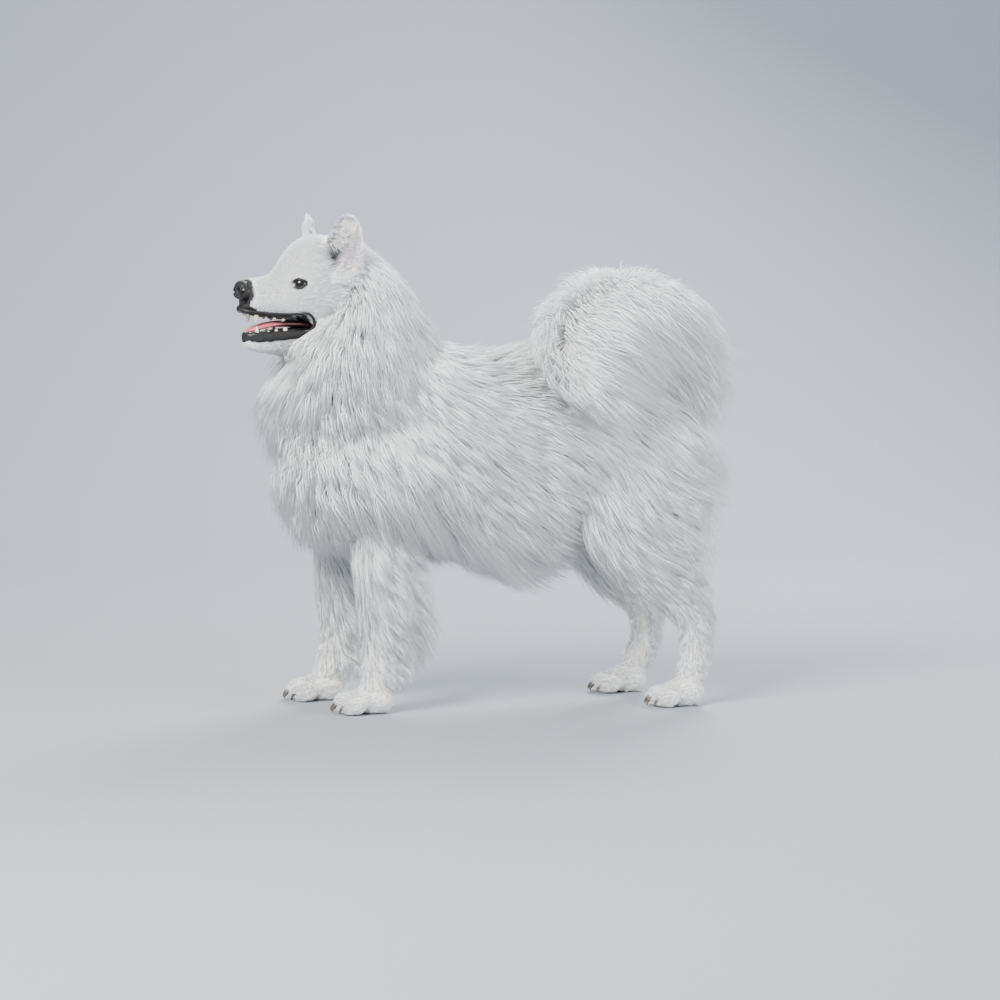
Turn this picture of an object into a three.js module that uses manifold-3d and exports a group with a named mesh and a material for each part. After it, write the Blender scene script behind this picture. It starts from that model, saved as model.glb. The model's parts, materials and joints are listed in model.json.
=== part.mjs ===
// A standing Samoyed dog at life size, in millimetres. +Z is up, the nose points to -X, the dog's left is -Y.
// Each body part is a limb: rings of named reach laid along its own bone line, with a named depth of coat.
// The flesh and the dense undercoat are one core, and flat tapered locks root in it and follow the lie of the
// coat out to their tips. Parts that touch keep a hairline gap.

import * as THREE from "three";
import { mergeVertices } from "three/addons/utils/BufferGeometryUtils.js";
import Module from "manifold-3d";

const wasm = await Module();
wasm.setup();

// Driving dimensions.
const GAP = 0.3; // between parts that touch
const SHORTEST = 5; // edges below this are closed up after the cuts
const DRIFT = 0.1; // how far that may move a surface at a time
const CORE = 0.5; // share of the coat's depth that the dense undercoat fills
const ROOT = 0.1; // how far up the coat the locks' roots are sunk
const LEG_SPREAD = 150; // left foot to right foot, centre to centre
const FORE_STEP = 54; // how far the right forefoot stands ahead of the left
const HIND_STEP = 54; // how far the right hind foot stands ahead of the left
const HIGH_STEP = 0.75; // share of a step that is made above the pastern
const FOREPAW = { x: -212, length: 96, width: 66, height: 42 };
const HINDPAW = { x: 258, length: 92, width: 60, height: 40 };
const HEAD_TURN = THREE.MathUtils.degToRad(18); // of the head towards the dog's left
const HEAD_CENTRE = new THREE.Vector3(-289, -6, 648); // middle of the skull, between the ears
const EYE = { forward: 24, apart: 31, up: -17, radius: 12.5, turn: THREE.MathUtils.degToRad(40) };
const TRUNK_CUT = 10; // where the chest ends and the loin begins, along X
const CURL_CENTRE = new THREE.Vector3(165, 0, 523); // the tail curls round this line

const UP = new THREE.Vector3(0, 0, 1);
const REAR = new THREE.Vector3(1, 0, 0);
const SIDES = { left: -1, right: 1 };
const vec = (x, y, z) => new THREE.Vector3(x, y, z);
const rad = THREE.MathUtils.degToRad;

// A seeded random draw between 0 and 1.
function seeded(seed) {
  let state = seed;
  return () => {
    state = (state * 1664525 + 1013904223) % 4294967296;
    return state / 4294967296;
  };
}

// A closed three.js geometry as a solid, turned so that its faces point out.
function solid(geometry) {
  const bare = geometry.clone();
  bare.deleteAttribute("normal");
  bare.deleteAttribute("uv");
  const merged = mergeVertices(bare, 1e-4);
  const triVerts = new Uint32Array(merged.index.array);
  const vertProperties = merged.attributes.position.array;
  const made = new wasm.Manifold(new wasm.Mesh({ numProp: 3, vertProperties, triVerts }));
  if (made.volume() > 0) return made;
  triVerts.reverse();
  return new wasm.Manifold(new wasm.Mesh({ numProp: 3, vertProperties, triVerts }));
}

const join = (...solids) => wasm.Manifold.union(solids.flat(3));

// Only the largest closed surface: loose scraps and sealed hollows go.
function largest(made) {
  return made.decompose().reduce((a, b) => (b.volume() > a.volume() ? b : a));
}

// Rings of points, all of one length, closed at both ends by a pole.
function ringsGeometry(rings, startPole, endPole) {
  const around = rings[0].length;
  const points = [...rings.flat(), startPole, endPole];
  const start = points.length - 2;
  const end = points.length - 1;
  const last = (rings.length - 1) * around;
  const index = [];
  for (let j = 0; j < around; j++) {
    const next = (j + 1) % around;
    index.push(start, next, j, end, last + j, last + next);
    for (let i = 0; i < rings.length - 1; i++) {
      const a = i * around;
      const b = a + around;
      index.push(a + j, a + next, b + next, a + j, b + next, b + j);
    }
  }
  const geometry = new THREE.BufferGeometry().setFromPoints(points);
  geometry.setIndex(index);
  return geometry;
}

// An ellipsoid of the given half sizes along X, Y and Z, turned about Z, then moved.
function ellipsoid(centre, half, turn = 0, sides = 12) {
  const ball = new THREE.SphereGeometry(1, sides, Math.max(5, Math.round(sides * 0.6)));
  return solid(ball.rotateX(Math.PI / 2).scale(...half).rotateZ(turn).translate(...centre));
}

// What of a solid lies ahead of a plane through the given point.
function aheadOf(made, point, axis) {
  const aim = new THREE.Quaternion().setFromUnitVectors(vec(0, 0, 1), axis);
  const behind = new THREE.BoxGeometry(100, 100, 100).translate(0, 0, -50).applyQuaternion(aim).translate(...point);
  return made.subtract(solid(behind));
}

// A cone from a base to a tip, as a tooth or a claw is.
function spike(base, tip, radius, sides = 5) {
  const length = base.distanceTo(tip);
  const cone = new THREE.ConeGeometry(radius, length, sides).translate(0, length / 2, 0);
  const aim = new THREE.Quaternion().setFromUnitVectors(vec(0, 1, 0), tip.clone().sub(base).normalize());
  return solid(cone.applyQuaternion(aim).translate(...base));
}

// A round rod through the given points.
function rod(points, radius, steps, sides = 6) {
  const section = new THREE.Shape().absarc(0, 0, radius, 0, 2 * Math.PI);
  const path = new THREE.CatmullRomCurve3(points);
  const options = { steps, curveSegments: sides / 2, extrudePath: path, bevelEnabled: false };
  return solid(new THREE.ExtrudeGeometry(section, options));
}

// The same solid with its shortest edges closed up, because cuts leave slivers behind. An edge is closed only
// where its ends share just the two faces beside it, no face would fold over, and the surface hardly moves.
function smoothed(made, shortest) {
  const { vertProperties, triVerts } = made.getMesh();
  const points = Array.from({ length: vertProperties.length / 3 }, (_, i) =>
    vec(...vertProperties.subarray(3 * i, 3 * i + 3)),
  );
  const faces = Array.from({ length: triVerts.length / 3 }, (_, i) => [...triVerts.subarray(3 * i, 3 * i + 3)]);
  const around = points.map(() => new Set());
  faces.forEach((face, i) => face.forEach((id) => around[id].add(i)));
  const neighbours = (id) => new Set([...around[id]].flatMap((i) => faces[i]).filter((other) => other !== id));
  const normal = (a, b, c) => points[b].clone().sub(points[a]).cross(points[c].clone().sub(points[a]));
  const spoils = (gone, kept) =>
    [...around[gone]].some((i) => {
      const before = normal(...faces[i]);
      const size = before.length();
      if (size > 1e-4 && Math.abs(before.dot(points[kept].clone().sub(points[gone]))) > DRIFT * size) return true;
      if (faces[i].includes(kept)) return false;
      const after = normal(...faces[i].map((id) => (id === gone ? kept : id)));
      return after.length() < 1e-2 || after.dot(before) < 0.3 * after.length() * size;
    });
  for (let pass = 0; pass < 4; pass++) {
    for (let i = 0; i < faces.length; i++) {
      for (let side = 0; side < 3 && faces[i]; side++) {
        const [kept, gone] = [faces[i][side], faces[i][(side + 1) % 3]];
        if (points[kept].distanceTo(points[gone]) > shortest) continue;
        const beside = neighbours(gone);
        if ([...neighbours(kept)].filter((id) => beside.has(id)).length !== 2 || spoils(gone, kept)) continue;
        for (const j of [...around[gone]]) {
          if (faces[j].includes(kept)) {
            faces[j].forEach((id) => around[id].delete(j));
            faces[j] = null;
          } else {
            faces[j] = faces[j].map((id) => (id === gone ? kept : id));
            around[kept].add(j);
          }
        }
        around[gone].clear();
      }
    }
  }
  const geometry = new THREE.BufferGeometry().setFromPoints(points);
  geometry.setIndex(faces.filter(Boolean).flat());
  return solid(geometry);
}

// The same solid with every face moved out by a small amount, to cut its neighbours clear of it.
function swollen(made, by) {
  const { vertProperties, triVerts } = made.getMesh();
  const count = vertProperties.length / 3;
  const corner = (i) => vec(...vertProperties.subarray(3 * i, 3 * i + 3));
  const mean = Array.from({ length: count }, () => vec(0, 0, 0));
  const faces = Array.from({ length: count }, () => []);
  for (let i = 0; i < triVerts.length; i += 3) {
    const ids = [...triVerts.subarray(i, i + 3)];
    const [a, b, c] = ids.map(corner);
    const normal = b.clone().sub(a).cross(c.clone().sub(a));
    const size = normal.length();
    if (size < 1e-6) continue;
    normal.divideScalar(size);
    for (const [id, at, to, from] of [[ids[0], a, b, c], [ids[1], b, c, a], [ids[2], c, a, b]]) {
      mean[id].addScaledVector(normal, to.clone().sub(at).angleTo(from.clone().sub(at)));
      faces[id].push(normal);
    }
  }
  const moved = new Float32Array(vertProperties.length);
  for (let i = 0; i < count; i++) {
    const way = mean[i].normalize();
    const slope = Math.max(0.4, Math.min(...faces[i].map((normal) => normal.dot(way))));
    moved.set(corner(i).addScaledVector(way, by / slope).toArray(), 3 * i);
  }
  return new wasm.Manifold(new wasm.Mesh({ numProp: 3, vertProperties: moved, triVerts }));
}

// A limb's stations run along its bone line. Each gives the reach of the flesh outwards, inwards and sideways from
// that line, and the coat's depth the same ways. Ahead moves the coat's ring along the line, to round off an end.
// Square is the section's power, where 2 is an ellipse, and taper narrows its outer side.
const FIELDS = ["out", "in", "side", "coatOut", "coatIn", "coatSide", "ahead", "square", "taper"];
const PLAIN = { square: 2 };

class Limb {
  constructor(stations, outward, facing = null) {
    const times = stations.map((station, i) => i / (stations.length - 1));
    const values = stations.flatMap((station) => FIELDS.map((field) => station[field] ?? PLAIN[field] ?? 0));
    this.line = new THREE.CatmullRomCurve3(stations.map((station) => vec(...station.at)));
    this.length = this.line.getLength();
    this.sizes = new THREE.CubicInterpolant(times, values, FIELDS.length);
    this.outward = typeof outward === "function" ? outward : () => outward;
    this.facing = facing;
  }

  // The point at u along the line, at an angle from outwards towards the left, lifted by a share of the coat.
  point(u, angle, lift = 0) {
    const at = THREE.MathUtils.clamp(u, 0, 1);
    const centre = this.line.getPoint(at);
    const tangent = this.facing ?? this.line.getTangent(at);
    const outwards = this.outward(centre).clone().projectOnPlane(tangent).normalize();
    const left = tangent.clone().cross(outwards);
    const [out, inner, side, coatOut, coatIn, coatSide, ahead, square, taper] = this.sizes.evaluate(at);
    const power = 2 / square;
    const cos = Math.sign(Math.cos(angle)) * Math.abs(Math.cos(angle)) ** power;
    const sin = Math.sign(Math.sin(angle)) * Math.abs(Math.sin(angle)) ** power;
    const reach = cos > 0 ? out + lift * coatOut : inner + lift * coatIn;
    centre.addScaledVector(outwards, cos * reach);
    centre.addScaledVector(left, sin * (side + lift * coatSide) * (1 - taper * cos));
    return centre.addScaledVector(tangent, lift * ahead + (u - at) * this.length);
  }

  // The closed form between two places on the line, out to the given share of the coat.
  body({ along, around, lift = 1, from = 0, to = 1 }) {
    const rings = Array.from({ length: along + 1 }, (_, i) =>
      Array.from({ length: around }, (_, j) =>
        this.point(THREE.MathUtils.lerp(from, to, i / along), (2 * Math.PI * j) / around, lift),
      ),
    );
    const middle = (ring) => ring.reduce((sum, point) => sum.add(point), vec(0, 0, 0)).divideScalar(around);
    return solid(ringsGeometry(rings, middle(rings[0]), middle(rings[along])));
  }

  // One flat lock with a ridge, from its sunk root to its tip. It runs along the line and round it by the given
  // lengths while it rises through the coat, fast at first and then nearly flat.
  lock({ u, angle, along, round, width, thickness, tip }) {
    const girth = this.point(u, angle, 0.5).distanceTo(this.point(u, angle + 0.1, 0.5)) / 0.1;
    const path = [0, 0.36, 0.7, 1].map((share) => {
      const lift = ROOT + (tip - ROOT) * (1 - (1 - share) ** 2.2);
      return this.point(u + (along / this.length) * share, angle + (round / girth) * share, lift);
    });
    const outwards = this.point(u, angle, 1).sub(this.point(u, angle, 0));
    const rings = [0.6, 1, 0.66].map((share, i) => {
      const run = path[i + 1].clone().sub(path[Math.max(i - 1, 0)]).normalize();
      const up = outwards.clone().projectOnPlane(run).normalize();
      const across = run.clone().cross(up).multiplyScalar((width * share) / 2);
      return [across, up.multiplyScalar(thickness * share), across.clone().negate()].map((way) => path[i].clone().add(way));
    });
    return solid(ringsGeometry(rings, path[0], path[3]));
  }

  // The sizes of rows of locks between two places on the line. Every other row is shifted by half a lock, and no
  // two locks are quite alike. Down turns the locks towards the limb's inner side.
  rows({ seed, from, to, rows, spacing, angles = [-180, 180], along, down = 0, width, thickness = 10, tip = 1 }) {
    const draw = seeded(seed);
    const vary = (amount) => 1 + amount * (2 * draw() - 1);
    const [first, last] = angles.map(rad);
    const made = [];
    for (let row = 0; row < rows; row++) {
      const u = THREE.MathUtils.lerp(from, to, rows > 1 ? row / (rows - 1) : 0);
      const edge = Array.from({ length: 17 }, (_, i) => this.point(u, THREE.MathUtils.lerp(first, last, i / 16), 0.7));
      const girth = edge.slice(1).reduce((sum, point, i) => sum + point.distanceTo(edge[i]), 0);
      const inRow = Math.max(1, Math.round(girth / spacing));
      for (let i = 0; i < inRow; i++) {
        const angle = THREE.MathUtils.lerp(first, last, (i + (row % 2 ? 0.75 : 0.25) + 0.25 * (draw() - 0.5)) / inRow);
        made.push({
          u: u + (0.35 * along * (draw() - 0.5)) / this.length,
          angle,
          along: along * vary(0.12),
          round: down * Math.sin(angle) * vary(0.2) + (draw() - 0.5) * 0.35 * width,
          width: width * vary(0.12),
          thickness,
          tip: tip * vary(0.07),
        });
      }
    }
    return made;
  }
}

// Places on the head are given forward, to its left and up from the middle of the skull.
const FORWARD = REAR.clone().negate().applyAxisAngle(UP, HEAD_TURN);
const LEFT = UP.clone().cross(FORWARD);
function onHead(forward, left, up) {
  return HEAD_CENTRE.clone().addScaledVector(FORWARD, forward).addScaledVector(LEFT, left).addScaledVector(UP, up);
}

// A section across a limb that runs fore and aft, from the heights of its top and underside.
function section(centre, top, low, half, coat = {}) {
  return { at: centre((top + low) / 2), out: (top - low) / 2, in: (top - low) / 2, side: half, ...coat };
}

// Head.
const headSection = (forward, top, low, half, square, taper) =>
  section((up) => onHead(forward, 0, up), top, low, half, { square, taper });

const skull = new Limb(
  [
    headSection(113, -18, -44, 11, 2.2, 0.1),
    headSection(108, -11, -54, 19, 2.4, 0.14),
    headSection(98, -7, -60, 23.5, 2.7, 0.16),
    headSection(80, -5, -64, 26, 2.8, 0.18),
    headSection(62, -1, -67, 29, 2.7, 0.18),
    headSection(48, 12, -70, 33.5, 2.5, 0.18),
    headSection(36, 30, -74, 40, 2.3, 0.15),
    headSection(22, 45, -79, 49, 2.2, 0.1),
    headSection(5, 56, -86, 60, 2.2, 0.1),
    headSection(-15, 61, -90, 70, 2.2, 0.12),
    headSection(-40, 62, -88, 74, 2.2, 0.12),
    headSection(-65, 56, -76, 70, 2.1, 0.1),
    headSection(-86, 44, -60, 58, 2.1, 0.06),
    headSection(-101, 26, -40, 38, 2, 0),
    headSection(-107, 10, -18, 16, 2, 0),
  ],
  UP,
  FORWARD.clone().negate(),
);

const mandible = new Limb(
  [
    headSection(104, -92, -106, 8, 2.2, 0),
    headSection(98, -89, -112, 15, 2.4, 0),
    headSection(85, -87, -117, 19, 2.6, -0.1),
    headSection(65, -84, -121, 22, 2.6, -0.15),
    headSection(42, -81, -125, 27, 2.5, -0.15),
    headSection(20, -78, -127, 34, 2.3, -0.1),
    headSection(-5, -76, -122, 41, 2.2, 0),
    headSection(-30, -78, -112, 44, 2, 0),
    headSection(-44, -84, -104, 36, 2, 0),
  ],
  UP,
  FORWARD.clone().negate(),
);

// The mouth's edges, from one corner round the front to the other, where the muzzle and the jaw turn under and
// over. The angles are those at each place, on one side.
function lipLine(limb, places, angles) {
  const half = (way) => places.map((u, i) => limb.point(u, way * rad(angles[i])));
  return [...half(-1).reverse(), ...half(1).slice(1)];
}
const upperLip = lipLine(skull, [0.05, 0.1, 0.17, 0.24, 0.31, 0.38, 0.45, 0.52], [180, 156, 142, 138, 137, 136, 134, 131]);
const lowerLip = lipLine(mandible, [0.03, 0.1, 0.2, 0.3, 0.4, 0.5, 0.6, 0.66], [0, 30, 44, 48, 50, 52, 54, 56]);

function teeth(row, size, top) {
  return row.map(([forward, left, radius, length]) => {
    const base = onHead(forward, left, top(forward) - Math.sign(length) * size);
    const tip = onHead(forward + radius * 0.4, left, top(forward) + length);
    return spike(base, tip, radius);
  });
}

// Both sides of a row of teeth given forward, aside, radius and length, where a length below zero points down.
const bothSides = (row) => row.flatMap(([forward, left, ...size]) => [[forward, left, ...size], [forward, -left, ...size]]);
const UPPER_TEETH = bothSides([
  [101, 3, 2.6, -3],
  [99, 8, 2.8, -4],
  [89, 15, 4.2, -13],
  [74, 18, 3.6, -3],
  [62, 20, 4, -4],
  [49, 23, 4.8, -5],
]);
const LOWER_TEETH = bothSides([
  [98, 3, 2.2, 5],
  [96, 8, 2.4, 5],
  [87, 13, 3.8, 13],
  [70, 16, 3.2, 4],
  [58, 18, 3.6, 5],
  [45, 22, 4.4, 6],
]);
const UPPER_GUM = (forward) => -60 - (100 - forward) * 0.16;
const LOWER_GUM = (forward) => -90 + (100 - forward) * 0.12;

const eyeCentre = (way) => onHead(EYE.forward, EYE.apart * way, EYE.up);
const eyeAxis = (way) => FORWARD.clone().applyAxisAngle(UP, EYE.turn * way).addScaledVector(UP, 0.1).normalize();

// The almond between the lids, as a prism along the eye's axis, with its outer corner raised.
function almond(way) {
  const half = EYE.radius * 0.86;
  const shape = new THREE.Shape().moveTo(-half, 0);
  shape.quadraticCurveTo(-half * 0.1, half * 1.05, half, 0);
  shape.quadraticCurveTo(half * 0.1, -half * 0.95, -half, 0);
  const prism = new THREE.ExtrudeGeometry(shape, { depth: 30, curveSegments: 5, bevelEnabled: false });
  const axis = eyeAxis(way);
  const across = UP.clone().cross(axis).normalize();
  const turn = new THREE.Matrix4().makeBasis(across, axis.clone().cross(across), axis);
  return solid(prism.rotateZ(way * rad(14)).applyMatrix4(turn).translate(...eyeCentre(way)));
}

function eye(way) {
  const ball = ellipsoid(eyeCentre(way), [EYE.radius, EYE.radius, EYE.radius], 0, 12);
  return aheadOf(ball, eyeCentre(way), eyeAxis(way));
}

function lid(way) {
  const thick = EYE.radius + 1.9;
  return ellipsoid(eyeCentre(way), [thick, thick, thick], 0, 12);
}

function socket(way) {
  const centre = eyeCentre(way).addScaledVector(eyeAxis(way), EYE.radius + 8);
  return ellipsoid(centre, [9, 19, 13], HEAD_TURN + EYE.turn * way, 12);
}

function nose() {
  const pad = join(
    ellipsoid(onHead(107, 0, -24), [11, 16, 12.5], HEAD_TURN, 12),
    ellipsoid(onHead(106, 7, -29), [11, 10, 10], HEAD_TURN, 10),
    ellipsoid(onHead(106, -7, -29), [11, 10, 10], HEAD_TURN, 10),
  );
  const nostril = (way) => [
    ellipsoid(onHead(117, 7.5 * way, -26), [8, 3.8, 4.2], HEAD_TURN - way * 0.3, 8),
    ellipsoid(onHead(112, 14 * way, -29), [7, 4, 2], HEAD_TURN + way * 0.8, 8),
  ];
  const groove = ellipsoid(onHead(117, 0, -36), [6, 1.1, 11], HEAD_TURN, 8);
  const front = aheadOf(pad, onHead(103, 0, -26), FORWARD);
  return front.subtract(join(nostril(1), nostril(-1), groove));
}

const tongueLine = new Limb(
  [
    { at: onHead(97, 0, -87), out: 1.5, in: 1.5, side: 4 },
    { at: onHead(93, 0, -85.5), out: 3, in: 3, side: 11 },
    { at: onHead(82, 0, -83), out: 4, in: 4.5, side: 14.5 },
    { at: onHead(62, 0, -79), out: 4.5, in: 5, side: 16 },
    { at: onHead(40, 0, -77), out: 5, in: 6, side: 18 },
    { at: onHead(15, 0, -77), out: 5, in: 7, side: 19 },
    { at: onHead(-4, 0, -79), out: 4, in: 6, side: 16 },
  ],
  UP,
);

function tongue() {
  const groove = rod([onHead(92, 0, -80), onHead(60, 0, -72), onHead(20, 0, -69)], 2.4, 6, 6);
  return largest(tongueLine.body({ along: 9, around: 10 }).subtract(groove));
}

const palate = new Limb(
  [
    { at: onHead(94, 0, -62), out: 5, in: 8, side: 9 },
    { at: onHead(80, 0, -64), out: 9, in: 12, side: 14 },
    { at: onHead(58, 0, -67), out: 11, in: 14, side: 17.5 },
    { at: onHead(34, 0, -71), out: 11, in: 14, side: 21 },
    { at: onHead(12, 0, -76), out: 9, in: 9, side: 20 },
    { at: onHead(0, 0, -80), out: 3, in: 3, side: 10 },
  ],
  UP,
);

function head() {
  const ways = [1, -1];
  const cheeks = ways.map((way) => ellipsoid(onHead(-30, 38 * way, -78), [42, 26, 38], HEAD_TURN, 12));
  const face = join(skull.body({ along: 21, around: 18 }), cheeks, rod(upperLip, 4.2, 14));
  const hollowed = face.subtract(join(ways.map(socket), palate.body({ along: 7, around: 10 })));
  const lidded = join(hollowed, ways.map(lid), teeth(UPPER_TEETH, 5, UPPER_GUM));
  return lidded.subtract(join(ways.map(almond)));
}

const mouthFloor = new Limb(
  [
    { at: onHead(95, 0, -84), out: 6, in: 6, side: 8 },
    { at: onHead(80, 0, -82), out: 10, in: 11, side: 13 },
    { at: onHead(58, 0, -80), out: 10, in: 13, side: 17 },
    { at: onHead(34, 0, -78), out: 10, in: 13, side: 21 },
    { at: onHead(12, 0, -77), out: 8, in: 10, side: 20 },
  ],
  UP,
);

function jaw() {
  const bone = join(mandible.body({ along: 11, around: 14 }), rod(lowerLip, 4.2, 14));
  return join(bone.subtract(mouthFloor.body({ along: 6, around: 10 })), teeth(LOWER_TEETH, 6, LOWER_GUM));
}

// An ear leans out and a little back. Its cup opens forwards and out.
const earAxis = (way) => FORWARD.clone().negate().applyAxisAngle(UP, rad(40) * way);
const earStation = (way, up, out, inner, side) => {
  const rise = up / 85;
  return { at: onHead(-22 - 12 * rise, (56 + 20 * rise) * way, up), out, in: inner, side, square: 2.2 };
};

function ear(way) {
  const outer = new Limb(
    [
      earStation(way, -12, 20, 16, 30),
      earStation(way, 8, 19, 15, 32),
      earStation(way, 28, 17, 12, 33),
      earStation(way, 48, 14, 9, 31),
      earStation(way, 65, 11, 6.5, 25),
      earStation(way, 77, 8, 5, 17),
      earStation(way, 85, 3.5, 3, 8),
    ],
    earAxis(way),
  );
  const cup = new Limb(
    [
      earStation(way, 2, 2, 24, 14),
      earStation(way, 16, 9, 26, 22),
      earStation(way, 32, 10, 24, 26),
      earStation(way, 50, 8, 20, 24),
      earStation(way, 64, 5, 16, 18),
      earStation(way, 76, 1.5, 12, 9),
    ],
    earAxis(way),
  );
  return outer.body({ along: 9, around: 14 }).subtract(cup.body({ along: 7, around: 10 }));
}

// Neck and trunk.
const neckLine = new Limb(
  [
    { at: [-226, -5, 652], out: 36, in: 34, side: 50, coatOut: 27, coatIn: 0, coatSide: 14 },
    { at: [-209, -4, 616], out: 44, in: 42, side: 56, coatOut: 32, coatIn: 10, coatSide: 30 },
    { at: [-199, -2, 572], out: 55, in: 92, side: 66, coatOut: 34, coatIn: 76, coatSide: 48 },
    { at: [-191, 0, 522], out: 70, in: 120, side: 82, coatOut: 33, coatIn: 68, coatSide: 58 },
    { at: [-180, 0, 470], out: 90, in: 122, side: 94, coatOut: 22, coatIn: 78, coatSide: 60 },
    { at: [-168, 0, 420], out: 92, in: 118, side: 98, coatOut: 5, coatIn: 86, coatSide: 56 },
    { at: [-158, 0, 380], out: 80, in: 112, side: 88, coatOut: 0, coatIn: 84, coatSide: 40 },
  ],
  vec(1, 0, 0.4),
);

const trunkSection = (x, top, low, half, coat) => section((up) => [x, 0, up], top, low, half, coat);
const trunk = new Limb(
  [
    trunkSection(-300, 430, 335, 34, { coatOut: 10, coatIn: 20, coatSide: 25, ahead: -62 }),
    trunkSection(-275, 475, 302, 70, { coatOut: 20, coatIn: 50, coatSide: 44, ahead: -54 }),
    trunkSection(-235, 505, 278, 94, { coatOut: 26, coatIn: 72, coatSide: 49, ahead: -44 }),
    trunkSection(-180, 530, 270, 108, { coatOut: 28, coatIn: 68, coatSide: 44, ahead: -15, square: 2.2 }),
    trunkSection(-125, 545, 266, 112, { coatOut: 27, coatIn: 70, coatSide: 42, square: 2.2 }),
    trunkSection(-75, 522, 264, 111, { coatOut: 24, coatIn: 78, coatSide: 42, square: 2.2 }),
    trunkSection(-20, 508, 266, 105, { coatOut: 26, coatIn: 96, coatSide: 41, square: 2.2 }),
    trunkSection(40, 505, 276, 96, { coatOut: 32, coatIn: 110, coatSide: 39, square: 2.2 }),
    trunkSection(110, 508, 308, 88, { coatOut: 32, coatIn: 90, coatSide: 38 }),
    trunkSection(180, 498, 334, 84, { coatOut: 30, coatIn: 56, coatSide: 38 }),
    trunkSection(240, 466, 350, 70, { coatOut: 26, coatIn: 40, coatSide: 38, ahead: 12 }),
    trunkSection(276, 425, 370, 40, { coatOut: 20, coatIn: 20, coatSide: 30, ahead: 28 }),
  ],
  UP,
  REAR,
);

// Where a given X is along the trunk's line, found by halving.
function trunkPlace(x) {
  let [low, high] = [0, 1];
  for (let i = 0; i < 24; i++) {
    const middle = (low + high) / 2;
    if (trunk.line.getPoint(middle).x < x) low = middle;
    else high = middle;
  }
  return low;
}

// Legs, for one side. The step moves the foot forwards, most of it between the given height and half of that, and
// the rest below the pastern.
function legStation(side, step, fixed, x, y, z, foreAft, across, coat) {
  const high = THREE.MathUtils.clamp((fixed - z) / (fixed * 0.5), 0, 1);
  const low = THREE.MathUtils.clamp((90 - z) / 64, 0, 1);
  const share = HIGH_STEP * high + (1 - HIGH_STEP) * low;
  return { at: [x - step * share, side * y, z], out: foreAft, in: foreAft, side: across, ...coat };
}

function foreleg(side, step) {
  const y = LEG_SPREAD / 2;
  const at = (...sizes) => legStation(side, step, 480, ...sizes);
  return new Limb(
    [
      at(-176, y - 22, 345, 46, 24, { coatOut: 20, coatIn: 8, coatSide: 8 }),
      at(-184, y - 4, 298, 44, 29, { coatOut: 44, coatIn: 10, coatSide: 12 }),
      at(-192, y + 4, 260, 38, 29, { coatOut: 60, coatIn: 10, coatSide: 12 }),
      at(-198, y + 3, 205, 31, 26, { coatOut: 66, coatIn: 9, coatSide: 11 }),
      at(-193, y, 110, 25, 24, { coatOut: 60, coatIn: 8, coatSide: 9 }),
      at(-196, y, 62, 23, 24, { coatOut: 40, coatIn: 7, coatSide: 7 }),
      at(-202, y, 26, 20, 22, { coatOut: 12, coatIn: 5, coatSide: 5 }),
    ],
    REAR,
  );
}

function hindleg(side, step) {
  const y = LEG_SPREAD / 2 + 5;
  const at = (...sizes) => legStation(side, step, 340, ...sizes);
  return new Limb(
    [
      at(196, y - 38, 462, 50, 20, { coatOut: 30, coatIn: 8, coatSide: 16 }),
      at(194, y - 28, 425, 82, 36, { coatOut: 52, coatIn: 10, coatSide: 24 }),
      at(190, y - 12, 365, 92, 42, { coatOut: 64, coatIn: 14, coatSide: 30 }),
      at(186, y + 2, 300, 80, 40, { coatOut: 80, coatIn: 16, coatSide: 30 }),
      at(206, y + 4, 235, 52, 34, { coatOut: 62, coatIn: 18, coatSide: 26 }),
      at(245, y + 2, 180, 34, 26, { coatOut: 32, coatIn: 14, coatSide: 20 }),
      at(278, y, 135, 25, 20, { coatOut: 16, coatIn: 12, coatSide: 14 }),
      at(282, y, 92, 19, 17, { coatOut: 16, coatIn: 9, coatSide: 9 }),
      at(277, y, 54, 19, 19, { coatOut: 14, coatIn: 7, coatSide: 6 }),
      at(272, y, 24, 18, 19, { coatOut: 6, coatIn: 4, coatSide: 4 }),
    ],
    REAR,
  );
}

const HOCK_PLACE = 0.52; // where the thigh ends and the hock begins, along the hind leg's line

// A paw on the floor: four clawed toes ahead of one block, cut off flat at the sole.
function paw(x, y, { length, width, height }) {
  const block = ellipsoid([x + length * 0.1, y, height * 0.5], [length * 0.36, width * 0.45, height * 0.62], 0, 9);
  const toes = [-1.5, -0.5, 0.5, 1.5].map((place) => {
    const reach = length * (Math.abs(place) > 1 ? 0.22 : 0.31);
    const aside = y + place * width * 0.255;
    const half = [length * 0.2, width * 0.137, height * 0.4];
    const claw = spike(
      vec(x - reach - half[0] * 0.6, aside, height * 0.38),
      vec(x - reach - half[0] * 1.3, aside, height * 0.1),
      4,
      4,
    );
    return [ellipsoid([x - reach, aside, height * 0.36], half, 0, 7), claw];
  });
  const floor = solid(new THREE.BoxGeometry(3 * length, 3 * length, 100).translate(x, y, -50));
  return join(block, toes).subtract(floor);
}

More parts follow.
